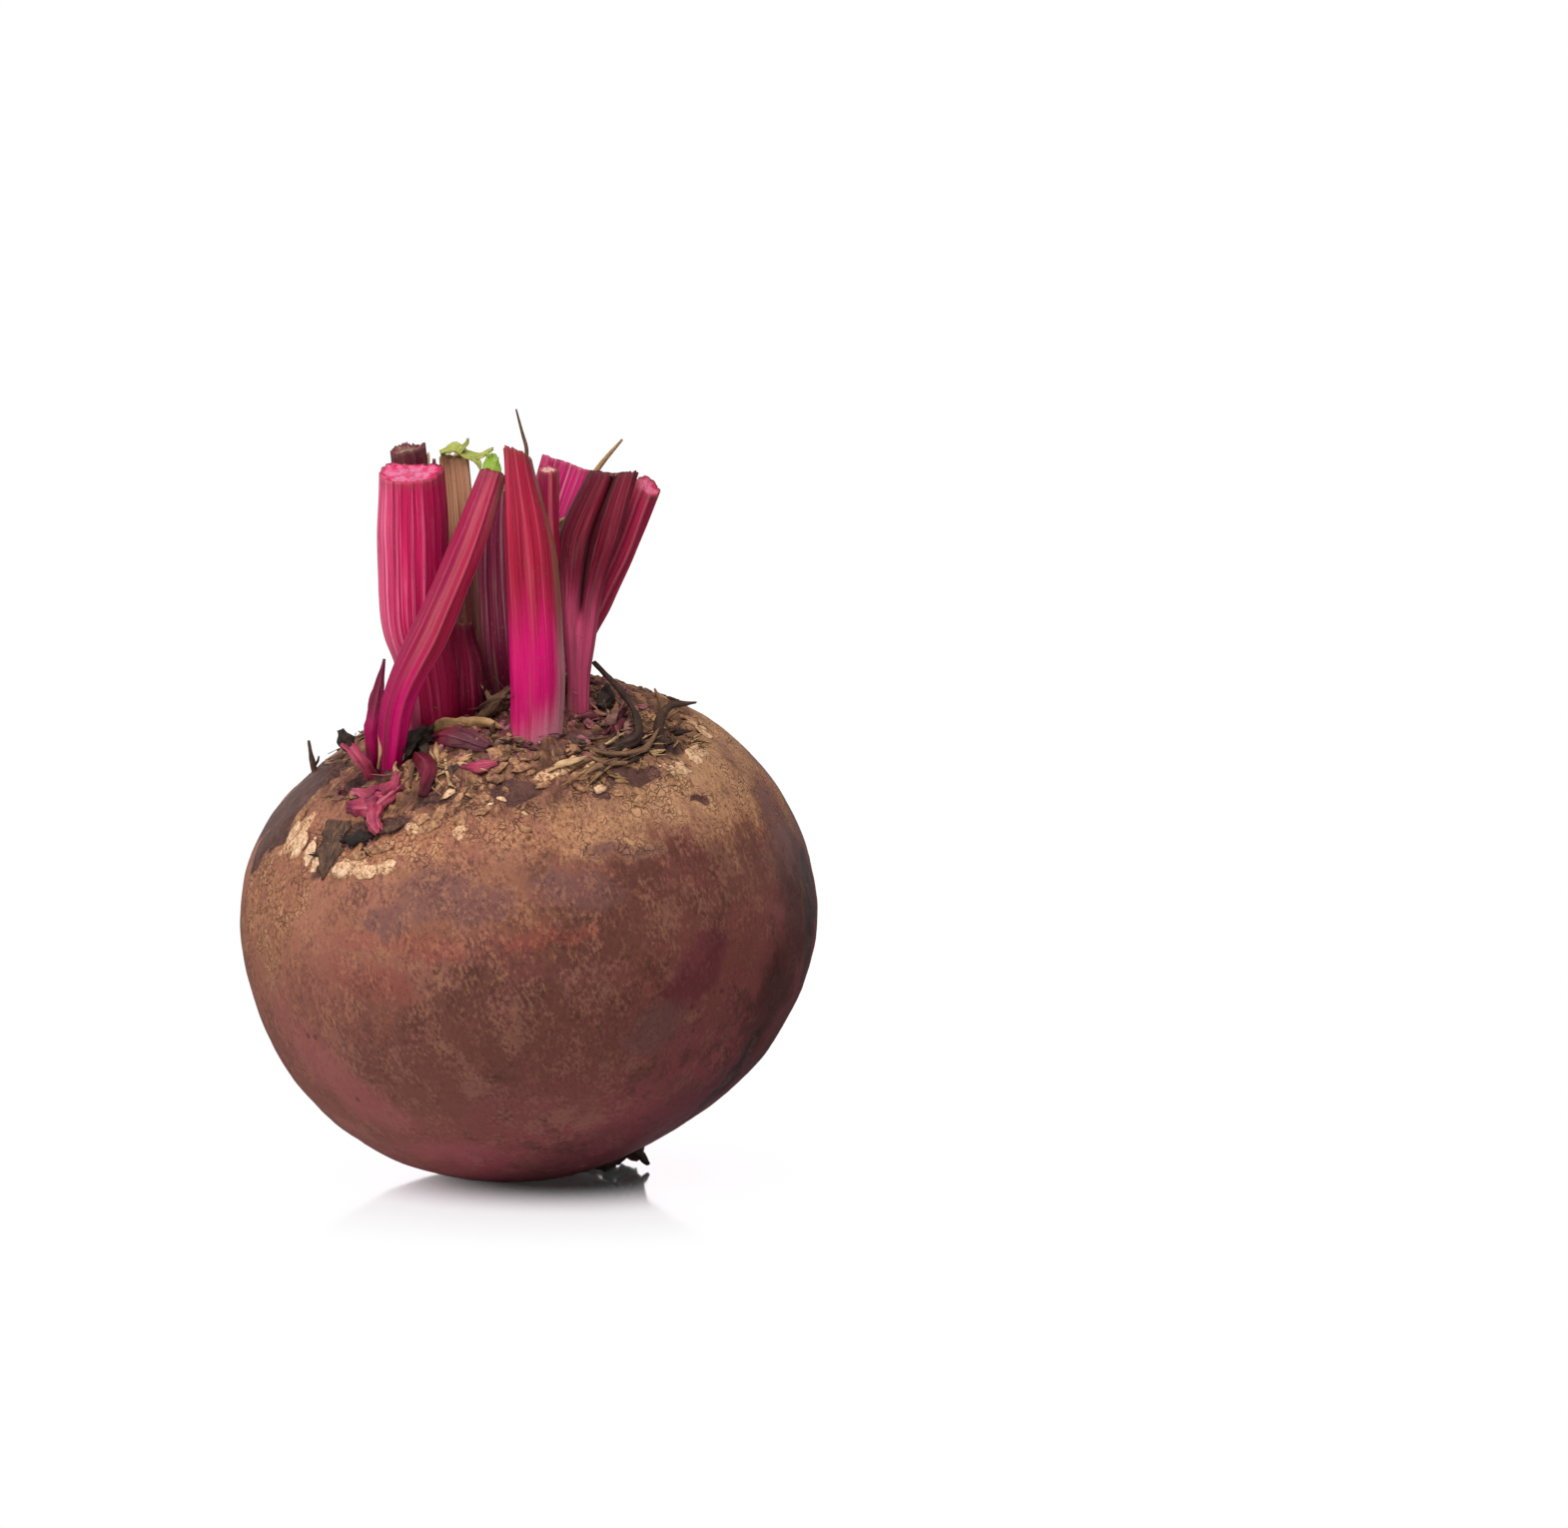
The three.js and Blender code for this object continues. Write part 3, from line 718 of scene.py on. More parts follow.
def stalk_finish(name, tones, low_top=0.4, foot_top=0.2, wear=0.2, lines=0.7, side=0.3, lit=None,
                 edge=None, edge_from=0.1, flank=None, painted_highlight_line=None, roughness=0.36, wet=0.02):
    """Wet ribbed stalk: stripes along it, a brighter low part, a foot, a worn head, a cut face, painted
    shade and light.
    """
    groove, flesh, rib, low, foot, head, pith = tones
    f = Finish(name, Specular_IOR_Level=0.2, Coat_Weight=wet, Coat_Roughness=0.2)
    x, _, s = f.parts("place")
    ridge, cut, radius = f.parts("ribs")
    line = f.kept("place").outputs["Vector"]
    broad = f.noise(f.stretched(line, (1.6, 1.6, 1.4)), 1.8, 3)
    stripe = f.noise(f.stretched(line, (6, 6, 0.5)), 2, 4, 0.6)
    fine = f.noise(f.stretched(line, (20, 20, 1.3)), 2, 4, 0.65)
    speckle = f.noise(f.object_place, 1500, 4, 0.6)
    wave = (stripe - 0.5) * 0.35 + (broad - 0.5) * 0.3
    f.colour = f.mix((stripe * 0.6 + fine * 0.4).step(0.38, 0.56), groove, flesh)
    in_low = (s + wave).step(low_top + 0.16, low_top - 0.1)
    f.paint(in_low * (0.7 + fine * 0.4), low)
    streaks = (fine * 0.5 + stripe * 0.15 + ridge * 0.35).step(0.48, 0.78) * (1 - in_low * 0.8)
    f.paint(streaks * lines, rib)
    # Painted highlight: a pale line along the stalk, at the given place across it.
    if painted_highlight_line is not None:
        off = x - painted_highlight_line + (fine - 0.5) * 0.3
        f.paint((off * off).step(0.08, 0) * (0.7 - in_low * 0.7), rib)
    # Painted shade: one side of the stalk darkens to the groove colour, by how much side sets.
    shaded = (x * side + (broad - 0.5) * 0.8 + 0.5 - side * 0.3).step(0.45, 1)
    f.paint(shaded * 0.75, groove)
    # Painted light: the lit side of the stalk turns paler, towards the rib colour.
    if lit:
        f.paint((x * -lit + (stripe - 0.5) * 0.8).step(0, 0.7) * 0.5, rib)
    # Painted shade: dark in the clefts.
    f.paint((-0.1 - ridge).step(0, 0.6) * 0.8, (44, 20, 24))
    if edge:
        brink = (x * edge + (fine - 0.5) * 0.5).step(0.72, 0.9)
        f.paint(brink * (s + wave).step(edge_from, edge_from + 0.4) * 0.7, (122, 88, 62))
    if flank:
        beside = (x + (fine - 0.5) * 0.7).step(0.6, 0.92) * (s + wave).step(0.58, 0.34)
        f.paint(beside * 0.6, flank)
    glow = (stripe * 0.5 + broad * 0.5).step(0.52, 0.64)
    f.paint(glow * (0.3 - in_low * 0.2), rib)
    f.paint(fine.step(0.47, 0.36) * 0.55, groove)
    f.paint((s + wave * 0.35 - x * 0.07).step(foot_top + 0.1, foot_top - 0.1) * 0.8, foot)
    worn = ((broad - 0.5) * 1.5 + (fine - 0.5) * 0.8 + wear).step(0.36, 0.66)
    rim = (s + (fine - 0.5) * 0.1).step(0.95, 1.01)
    f.paint((worn * (0.2 + s * 0.8)).most(rim * 0.5) * 0.8, head)
    fleck = (speckle - 0.61).step(0, 0.05)
    f.paint(fleck * 0.4, head)
    inside = (radius + (speckle - 0.5) * 0.8 + (broad - 0.5) * 0.4).step(0.95, 0.45)
    grainy = f.noise(f.object_place, 700, 4, 0.6)
    face = f.mix(grainy.step(0.42, 0.6) * 0.5, flesh, rib)
    core = f.mix(grainy.step(0.4, 0.54) * 0.6 + 0.4, flesh, pith)
    f.paint(cut.step(0.3, 0.9), f.mix(inside * 0.8, face, core))
    gloss = roughness + (fine - 0.5) * 0.3 + worn * 0.25 + cut * 0.12
    bumps = fine * 0.6 + stripe * 0.3 + speckle * 0.2
    return f.end(gloss, bumps, 0.2)


def husk_finish(name, roughness, dark, middle, light):
    """Dry leaf remains: fibres along them, from dark to light, with each strip's own tint."""
    f = Finish(name, Specular_IOR_Level=0.3)
    tint = f.parts("ribs")[0]
    line = f.kept("place").outputs["Vector"]
    stripe = f.noise(f.stretched(line, (5, 5, 0.8)), 2, 4, 0.65)
    mottle = f.noise(f.object_place, 700, 4, 0.65)
    value = stripe * 0.45 + mottle * 0.4 + (tint - 0.5) * 0.35 + 0.08
    f.colour = f.ramp(value, [(0.32, dark), (0.48, middle), (0.64, light)])
    return f.end(roughness + (mottle - 0.5) * 0.3, stripe * 0.7 + mottle * 0.5, 0.18)


# Colours of stalks and fleshy leaf bases: grooves, flesh, ribs, low part, foot, worn head, pith
# In a look, side sets the painted shade down one side of a stalk, and lit the painted light on the other.
STALK_LOOKS = {
    "crimson_stalk": dict(
        tones=[(138, 0, 54), (196, 14, 82), (240, 132, 166), (150, 2, 60), (84, 2, 34), (132, 70, 62),
        (206, 120, 152)], low_top=0.25, foot_top=0.06, wear=0.1, side=0.62, lit=0.5, lines=0.75),
    "ruby_stalk": dict(
        tones=[(122, 6, 50), (188, 32, 76), (222, 126, 142), (148, 2, 60), (84, 2, 34), (116, 76, 60),
        (226, 120, 152)], low_top=0.3, foot_top=0.06, wear=0.2, side=0.5, lines=0.55),
    "centre_stalk": dict(
        tones=[(120, 4, 34), (170, 18, 56), (214, 92, 112), (208, 0, 106), (206, 140, 150), (108, 70, 44),
        (214, 130, 140)], low_top=0.46, foot_top=0.15, lines=0.5, side=0.5, edge=1,
       flank=(196, 138, 146)),
    "salmon_stalk": dict(
        tones=[(134, 6, 64), (166, 24, 58), (208, 94, 108), (206, 0, 106), (196, 0, 98), (120, 76, 62),
        (236, 190, 180)], low_top=0.36, foot_top=0.1, side=-0.3, lines=0.8, edge=1, edge_from=0.66,
        painted_highlight_line=0),
    "magenta_stalk": dict(
        tones=[(150, 6, 72), (226, 44, 124), (244, 160, 186), (176, 6, 82), (120, 10, 54), (140, 84, 74),
        (240, 190, 200)], wear=0.05),
    "deep_stalk": dict(
        tones=[(72, 0, 30), (144, 6, 56), (204, 92, 124), (110, 2, 44), (70, 6, 30), (112, 80, 58),
        (150, 110, 90)], wear=0.2, lines=0.45, side=0.6),
    "wine_stalk": dict(
        tones=[(74, 0, 24), (122, 4, 38), (178, 92, 106), (204, 78, 116), (170, 116, 110), (74, 52, 48),
        (150, 110, 100)], low_top=0.5, foot_top=0.1, wear=0.34, lines=0.45, side=0.9),
    "dusky_stalk": dict(
        tones=[(62, 8, 26), (106, 18, 44), (150, 86, 88), (110, 14, 50), (90, 14, 42), (96, 70, 56),
        (150, 130, 110)], wear=0.36, lines=0.5),
    "purple_stalk": dict(
        tones=[(112, 16, 54), (172, 60, 98), (220, 176, 184), (124, 20, 60), (90, 16, 42), (140, 116, 84),
        (200, 180, 190)], wear=0.3, lines=0.85, edge=-1),
    "tan_stalk": dict(
        tones=[(226, 134, 110), (255, 196, 152), (246, 216, 170), (116, 44, 60), (110, 30, 50),
        (170, 140, 84), (220, 210, 150)], low_top=0.7, roughness=0.5, wet=0, lines=0.4, wear=0.1),
    "pink_flesh": dict(
        tones=[(138, 40, 66), (188, 76, 102), (216, 132, 142), (166, 52, 82), (122, 44, 66), (84, 44, 42),
        (210, 150, 150)], wear=0.26, roughness=0.42),
    "plum_flesh": dict(
        tones=[(70, 30, 42), (104, 52, 62), (150, 92, 96), (150, 44, 68), (90, 34, 46), (60, 40, 36),
        (150, 110, 110)], wear=0.3, roughness=0.42),
    "wine_flesh": dict(
        tones=[(60, 12, 26), (112, 24, 46), (164, 84, 92), (120, 20, 50), (70, 20, 30), (44, 28, 28),
        (150, 100, 100)], wear=0.25, roughness=0.38),
    "spike_flesh": dict(
        tones=[(84, 8, 38), (126, 18, 60), (164, 78, 102), (186, 0, 94), (110, 16, 54), (66, 36, 36),
        (150, 100, 100)], low_top=0.5, foot_top=0.1, wear=0.3, roughness=0.4),
}
# Dry remains: the roughness, and the colours from dark to light
HUSK_LOOKS = {
    "black_husk": (0.75, (18, 12, 11), (38, 27, 23), (78, 58, 46)),
    "dark_husk": (0.75, (34, 21, 17), (68, 46, 37), (118, 86, 64)),
    "brown_husk": (0.75, (52, 34, 28), (104, 74, 56), (152, 116, 84)),
    "tan_husk": (0.75, (100, 70, 46), (166, 126, 84), (212, 176, 130)),
    "wine_husk": (0.55, (46, 16, 24), (100, 36, 50), (158, 92, 92)),
    "rosy_husk": (0.75, (58, 34, 30), (108, 70, 62), (156, 114, 98)),
    "cream_husk": (0.75, (150, 112, 78), (208, 170, 128), (238, 212, 176)),
    "leaf_green": (0.5, (116, 106, 48), (150, 154, 66), (188, 190, 104)),
    "fresh_green": (0.4, (92, 116, 28), (126, 158, 40), (166, 186, 82)),
}
LOOKS = {name: stalk_finish(name, **look) for name, look in STALK_LOOKS.items()}
LOOKS.update({name: husk_finish(name, *look) for name, look in HUSK_LOOKS.items()})

# The stubs of the leaf stalks, from the foot inside the root to the cut head
STALKS = {
    "stalk_left_front": dict(
        look="crimson_stalk", slot="leaf_stalk", faces=(-0.3, -1, 0), channel=0.5, slant=-0.42, ribs=17,
        route=[
            (-14.2, -14.6, 69), (-14.8, -16.6, 79), (-16.1, -17.6, 86), (-17.3, -18.1, 90.5),
            (-17.6, -18.2, 97),
            (-17.8, -18, 115)],
        width=[8.4, 8.9, 10.2, 11.5, 11.6, 10.6], depth=[5.4, 6.4, 7.2, 7.6, 7.6, 7.6],
        rib_height=0.25, square=0.85),
    "stalk_left_behind": dict(
        look="dusky_stalk", slot="wine_stalk", faces=(-0.9, -0.5, 0), channel=0.7, slant=-0.3, ribs=11,
        route=[(-11, -4, 70.5), (-14.6, -6, 87), (-17, -7.5, 101), (-18.7, -7, 117.6)],
        width=[8, 8.6, 8, 8.8], depth=[5, 6, 6, 5.6], tear=0.6),
    "stalk_tan": dict(
        look="tan_stalk", slot="tan_stalk", faces=(0.2, 1, 0), channel=0.6, ribs=9,
        route=[(-7, 1, 72.5), (-9, 0, 90), (-10, -2, 102.4), (-11.2, -3, 115.8)],
        width=[5, 5.4, 5.2, 4.8], depth=[3.6, 4, 3.8, 3.4], tear=0.8),
    "stalk_slanting": dict(
        look="salmon_stalk", slot="pink_stalk", faces=(-0.2, -1, 0.2), channel=0.4, ribs=6,
        rib_height=0.3,
        route=[(-21.4, -18, 64), (-19.7, -24, 79), (-13.9, -26.5, 92), (-8.3, -24.5, 105),
            (-4.7, -19, 115)],
        width=[3.2, 5.2, 6.2, 5.5, 4.6], depth=[3, 4, 4.2, 4, 3.2], clefts=[(84, 0.3, 10, 0)]),
    "stalk_centre_front": dict(
        look="centre_stalk", slot="leaf_stalk", faces=(0.05, -1, 0), channel=0.5, slant=0.25, lean=-0.6,
        ribs=10,
        route=[(2, -24, 68), (2.4, -26, 84), (1.2, -25, 104.8), (-0.8, -22.6, 118.6)],
        width=[8.2, 8.9, 8.4, 4.4], depth=[5, 6, 5.6, 4.2], rib_height=0.12),
    "stalk_purple": dict(
        look="purple_stalk", slot="wine_stalk", faces=(0.1, -1, 0), channel=0.5, ribs=9,
        route=[(-2.6, -8, 72), (-4.2, -11, 88), (-4.8, -11.5, 102), (-4.2, -11, 111.5)],
        width=[4.4, 7, 7, 5], depth=[4, 5, 4.6, 4]),
    "stalk_short_inner": dict(
        look="deep_stalk", slot="wine_stalk", faces=(0.1, -1, 0), channel=0.3, ribs=13,
        route=[(-10.6, -12.4, 70), (-10.7, -14.2, 78), (-10.8, -14.6, 84), (-11, -14, 90.4)],
        width=[8.6, 10.4, 9.4, 5.8], depth=[4.4, 5, 4.6, 3], tear=0.9),
    "stalk_small_inner": dict(
        look="salmon_stalk", slot="pink_stalk", faces=(0.2, -1, 0), channel=0.3, slant=-0.5, ribs=5,
        route=[(4.2, -12, 72.5), (4.4, -14.2, 92), (4, -14, 106), (3.9, -13.4, 114.9)],
        width=[3, 3.6, 3.6, 3.2], depth=[2.6, 3, 3, 2.8], pith=0.2),
    "stalk_right_behind": dict(
        look="magenta_stalk", slot="leaf_stalk", faces=(-0.1, 1, 0), channel=0.7, ribs=11,
        route=[(2.4, 1, 74), (1.6, 2.6, 89), (2.6, 3.6, 102), (6.4, 5.6, 113.8)],
        width=[6, 6.4, 6.6, 8.2], depth=[4, 5, 4.6, 4.2]),
    "stalk_right_channelled": dict(
        look="wine_stalk", slot="wine_stalk", faces=(0.4, 0.9, 0), channel=0.8, ribs=11,
        route=[(8.9, -19, 70.5), (8.9, -17.6, 86), (9.2, -16, 94.6), (10.4, -14, 103.4),
            (14.3, -10.6, 114)],
        width=[3.1, 3.6, 6.6, 10.2, 8], depth=[4, 4.8, 5.2, 5, 5], tear=0.5, lean=-0.25,
        clefts=[(-98, 1.7, 13, 0.36)]),
    "stalk_far_right": dict(
        look="ruby_stalk", slot="leaf_stalk", faces=(1, -0.3, 0), channel=0.3, slant=-0.5, lean=0.4,
        ribs=8,
        route=[(8.6, -10.6, 73), (8.8, -11.4, 85.3), (12.2, -9.6, 93.8), (15.8, -8, 101.4),
            (19.6, -6, 111.4)],
        width=[3.2, 3.4, 4.2, 4.8, 5.4], depth=[2.8, 3.2, 4, 4.4, 4.8]),
    "stalk_back_left": dict(
        look="crimson_stalk", slot="leaf_stalk", faces=(-0.7, 0.75, 0), channel=0.6, slant=-0.2, ribs=12,
        route=[(-12.4, 6, 71.5), (-17, 9.4, 86), (-18.6, 11, 97), (-18.8, 11.6, 109)],
        width=[7, 8, 8, 7.4], depth=[4.4, 5.2, 5.2, 5]),
    "stalk_back_middle": dict(
        look="magenta_stalk", slot="leaf_stalk", faces=(0, 1, 0), channel=0.6, slant=-0.15, ribs=14,
        route=[(-4, 10, 73.5), (-4.6, 15, 87), (-4, 16.4, 98), (-3, 16.6, 108.6)],
        width=[7.6, 9, 9, 8.4], depth=[4.6, 5.6, 5.6, 5.2]),
    "stalk_back_right": dict(
        look="centre_stalk", slot="leaf_stalk", faces=(0.7, 0.75, 0), channel=0.5, slant=-0.25, ribs=12,
        route=[(4.6, 9, 74), (7.6, 12.4, 86), (11.4, 14, 96), (14.4, 14.6, 107)],
        width=[5.4, 7, 7.4, 7], depth=[4.2, 5, 5, 4.6]),
    "heart_shoot_left": dict(
        look="salmon_stalk", slot="pink_stalk", faces=(-1, 0, 0), ribs=5,
        route=[(-4.6, -3, 73), (-5.2, -3.6, 86), (-5.2, -4.2, 97.6)],
        width=[3.4, 3.8, 2.6], depth=[3, 3.2, 2.2]),
    "heart_shoot_right": dict(
        look="magenta_stalk", slot="pink_stalk", faces=(1, 0, 0), ribs=5,
        route=[(0.4, -2.4, 74), (0.4, -2.6, 87), (1, -3.2, 100)],
        width=[3.4, 3.8, 2.4], depth=[3, 3.2, 2]),
}


def stalks():
    for seed, (name, piece) in enumerate(STALKS.items()):
        bm = bmesh.new()
        grow(bm, piece, seed * 7.3, sides=64, rings=84, cap_rings=6)
        add_growth(name, bm, LOOKS[piece["look"]], name)


# Old leaf bases around the stalks. Each may have further arms, which lie on the skin as it does.
BASES = {
    "base_spike_left": dict(
        look="spike_flesh", slot="wine_stalk", faces=(-0.5, -1, 0), channel=0.5,
        route=[(-23.4, -16.4, 66), (-24, -20, 72.9), (-23.6, -21, 77), (-21.9, -20, 85.6)],
        width=[2.2, 3, 2.8, 0.5], depth=[2, 2, 1.4, 0.5], ribs=5, rib_height=0.2, crumple=0.25, tear=0),
    "base_stub_left": dict(
        look="pink_flesh", slot="wine_stalk", faces=(-0.3, -0.8, 0.5),
        route=[(-23.2, -18.8, 65.6), (-25.5, -21, 69.5), (-28.1, -20, 72.4)],
        width=[2.1, 2, 2.4], depth=[2, 1.8, 2], ribs=5, crumple=0.35, tear=0.8),
    "base_pink_star": dict(
        look="pink_flesh", slot="pink_stalk", faces=(-0.5, -0.7, 0.6),
        route=[(-27.4, -22.6, 62.2), (-22.6, -26.8, 63), (-18.8, -26.8, 66)], lifts=[0.1, 0.7, 0.6],
        width=[1.8, 4.8, 1.8], depth=[1.4, 2.8, 1.6], ribs=5, rib_height=0.4, crumple=0.7, tear=0.6,
        arms=[
            dict(route=[(-22, -27, 63.4), (-22.4, -29, 60.6), (-21.6, -30.6, 59)], lifts=[0.9, 1.1, 0.6],
                 width=[3.4, 2.8, 1.6], depth=[2.4, 2, 1.2]),
            dict(route=[(-22, -26, 64), (-25, -23.4, 64.4), (-27.4, -20.6, 65)], lifts=[0.9, 1, 0.4],
                 width=[3, 1.8, 1], depth=[2, 1.4, 0.8]),
            dict(route=[(-21, -26, 64), (-19.6, -26.4, 66), (-19.8, -24.4, 68)], lifts=[1, 1.4, 1],
                 width=[3, 1.6, 0.8], depth=[2, 1.4, 0.8])]),
    "base_wine_curl": dict(
        look="wine_flesh", slot="wine_stalk", faces=(-0.3, -0.6, 0.7),
        route=[(-15.7, -30.3, 65.1), (-14.4, -27.2, 68.2), (-16.4, -22.3, 70)], lifts=[0.1, 1.4, 1],
        width=[1.6, 3.4, 2], depth=[1.6, 2.4, 1.6], ribs=4, rib_height=0.3, crumple=0.4),
    "base_pad_upper": dict(
        look="plum_flesh", slot="pink_stalk", faces=(-0.2, -0.6, 0.8),
        route=[(-14.3, -17.8, 72.8), (-10.8, -22.2, 72.9), (-5.2, -27.1, 72.1)], lifts=[0.2, 0.7, 0.2],
        width=[2.6, 4.4, 2.4], depth=[1.8, 2.6, 1.6], ribs=5, rib_height=0.3, crumple=0.5, channel=0.3),
    "base_pad_lower": dict(
        look="pink_flesh", slot="pink_stalk", faces=(-0.2, -0.6, 0.8),
        route=[(-9.4, -29, 69.4), (-6.4, -30, 69.5), (-3.6, -30.4, 70)], lifts=[0.1, 0.5, 0.2],
        width=[1.2, 2.8, 1.2], depth=[1.2, 1.8, 1.2], ribs=4, rib_height=0.3, crumple=0.3),
    "base_sheath_middle": dict(
        look="brown_husk", slot="tan_stalk", faces=(0, -0.6, 0.8),
        route=[(-9, -16.6, 73.4), (-5.3, -18.6, 77.8), (-2.2, -18, 81)],
        width=[0.8, 2.2, 1], depth=[0.6, 1.5, 0.8], crumple=0.45, channel=0.4),
}

# Dry leaf remains and scraps
DRY = {
    "dry_sheath_right": dict(
        look="dark_husk", slot="dry_leaf", faces=(0.8, -0.3, 0.5),
        route=[(11, -14, 84.3), (15.1, -17, 80.4), (17.9, -20, 76.4), (17.4, -23.6, 73),
            (10.6, -26, 71.6)],
        width=[0.9, 1.5, 2, 2.3, 1.6], depth=[0.7, 0.9, 1, 1.1, 0.9], crumple=0.5, tint=0.25),
    "dry_hook_right": dict(
        look="dark_husk", slot="dry_leaf", faces=(-0.4, -0.9, 0),
        route=[(21.4, -18.6, 71.6), (21.6, -17.8, 75.6), (23.3, -17, 77.7), (27.2, -16, 78.1)],
        width=[2.4, 1.8, 1.2, 0.4], depth=[1.4, 0.9, 0.7, 0.3], crumple=0.35, tint=0.4),
    "dry_thorn_right": dict(
        look="brown_husk", slot="tan_stalk", faces=(0, -1, 0),
        route=[(22, -12, 73.6), (21.7, -11.6, 77), (20.6, -11.4, 79.7)],
        width=[1.8, 1.2, 0.3], depth=[1.2, 0.8, 0.3], crumple=0.2, tint=0.6),
    "dry_strip_left": dict(
        look="dark_husk", slot="dry_leaf", faces=(-0.6, -0.6, 0.4), lifts=[0.2, 0.2, 0.1],
        route=[(-29, -24.4, 60.6), (-30.4, -26.4, 56.3), (-31.5, -28.4, 51.8)],
        width=[4.2, 5.2, 0.9], depth=[0.7, 0.9, 0.4], crumple=0.9, wobble=0.6, tear=0.9, tint=0.5),
    "dry_twig_left": dict(
        look="dark_husk", slot="dry_leaf", faces=(0, -1, 0), tint=0.5,
        route=[(-33.6, 3.6, 63), (-34.5, 3.6, 67.4), (-34.8, 3.6, 69.3)],
        width=[1.4, 1, 0.5], depth=[1, 0.8, 0.4], crumple=0.3, arms=[
            dict(route=[(-34.2, 3.6, 65), (-33.4, 3.4, 66), (-33.2, 3.2, 66.8)],
                 width=[0.6, 0.5, 0.3], depth=[0.5, 0.4, 0.3])]),
    "thread_top": dict(
        look="brown_husk", slot="dry_leaf", faces=(0, -1, 0), tint=0.4,
        route=[(0.6, -22, 117.4), (0.6, -21, 119.2), (-0.1, -21, 121.8), (-1, -21, 125.3)],
        width=[0.7, 0.6, 0.45, 0.3], depth=[0.7, 0.6, 0.45, 0.3], wobble=0.05, tear=0),
    "thread_right": dict(
        look="tan_husk", slot="tan_stalk", faces=(0, -1, 0), tint=0.45,
        route=[(4.4, 2, 101.6), (5.5, 0.6, 103.4), (8, 0.4, 107.7), (11.6, 0.8, 113.5), (15.4, 1, 118)],
        width=[0.8, 0.8, 1, 0.9, 0.4], depth=[0.7, 0.7, 0.8, 0.7, 0.4], wobble=0.1, crumple=0.1, tear=0,
        arms=[
            dict(route=[(6, 0.4, 103.6), (5.6, -0.4, 105), (6.4, -0.8, 105.6)],
                 width=[0.8, 0.8, 0.5], depth=[0.7, 0.7, 0.5])]),
    "scrap_green_left": dict(
        look="leaf_green", slot="green_leaf", faces=(0, -0.5, 1), tint=0.55,
        route=[(-13.4, -4, 116.4), (-11.1, -4, 117.2), (-8, -4, 115.8), (-5, -4, 117)],
        width=[1.6, 2.8, 2, 0.6], depth=[0.7, 0.8, 0.7, 0.4], crumple=0.7, arms=[
            dict(route=[(-10.6, -4, 116.6), (-9.4, -4.6, 117.8), (-9, -4.6, 118.8)],
                 width=[1.6, 1, 0.3], depth=[0.6, 0.5, 0.3]),
            dict(route=[(-9, -4, 116), (-7.4, -5, 115), (-7, -5.4, 113.8)],
                 width=[1.4, 1.2, 0.4], depth=[0.6, 0.5, 0.3])]),
    "scrap_green_right": dict(
        look="fresh_green", slot="green_leaf", faces=(0, -1, 0), tint=0.5,
        route=[(-5, -16.6, 113.4), (-4.9, -15.6, 116), (-4.6, -15.2, 117.2)],
        width=[1.8, 2.6, 1.8], depth=[1, 1, 0.8], crumple=0.4, tear=0.8),
}


def remains():
    for seed, (name, piece) in enumerate([*BASES.items(), *DRY.items()], 20):
        bm = bmesh.new()
        for i, arm in enumerate([piece, *piece.get("arms", [])]):
            grow(bm, {**piece, **arm}, seed * 5.7 + i)
        add_growth(name, bm, LOOKS[piece["look"]], name)


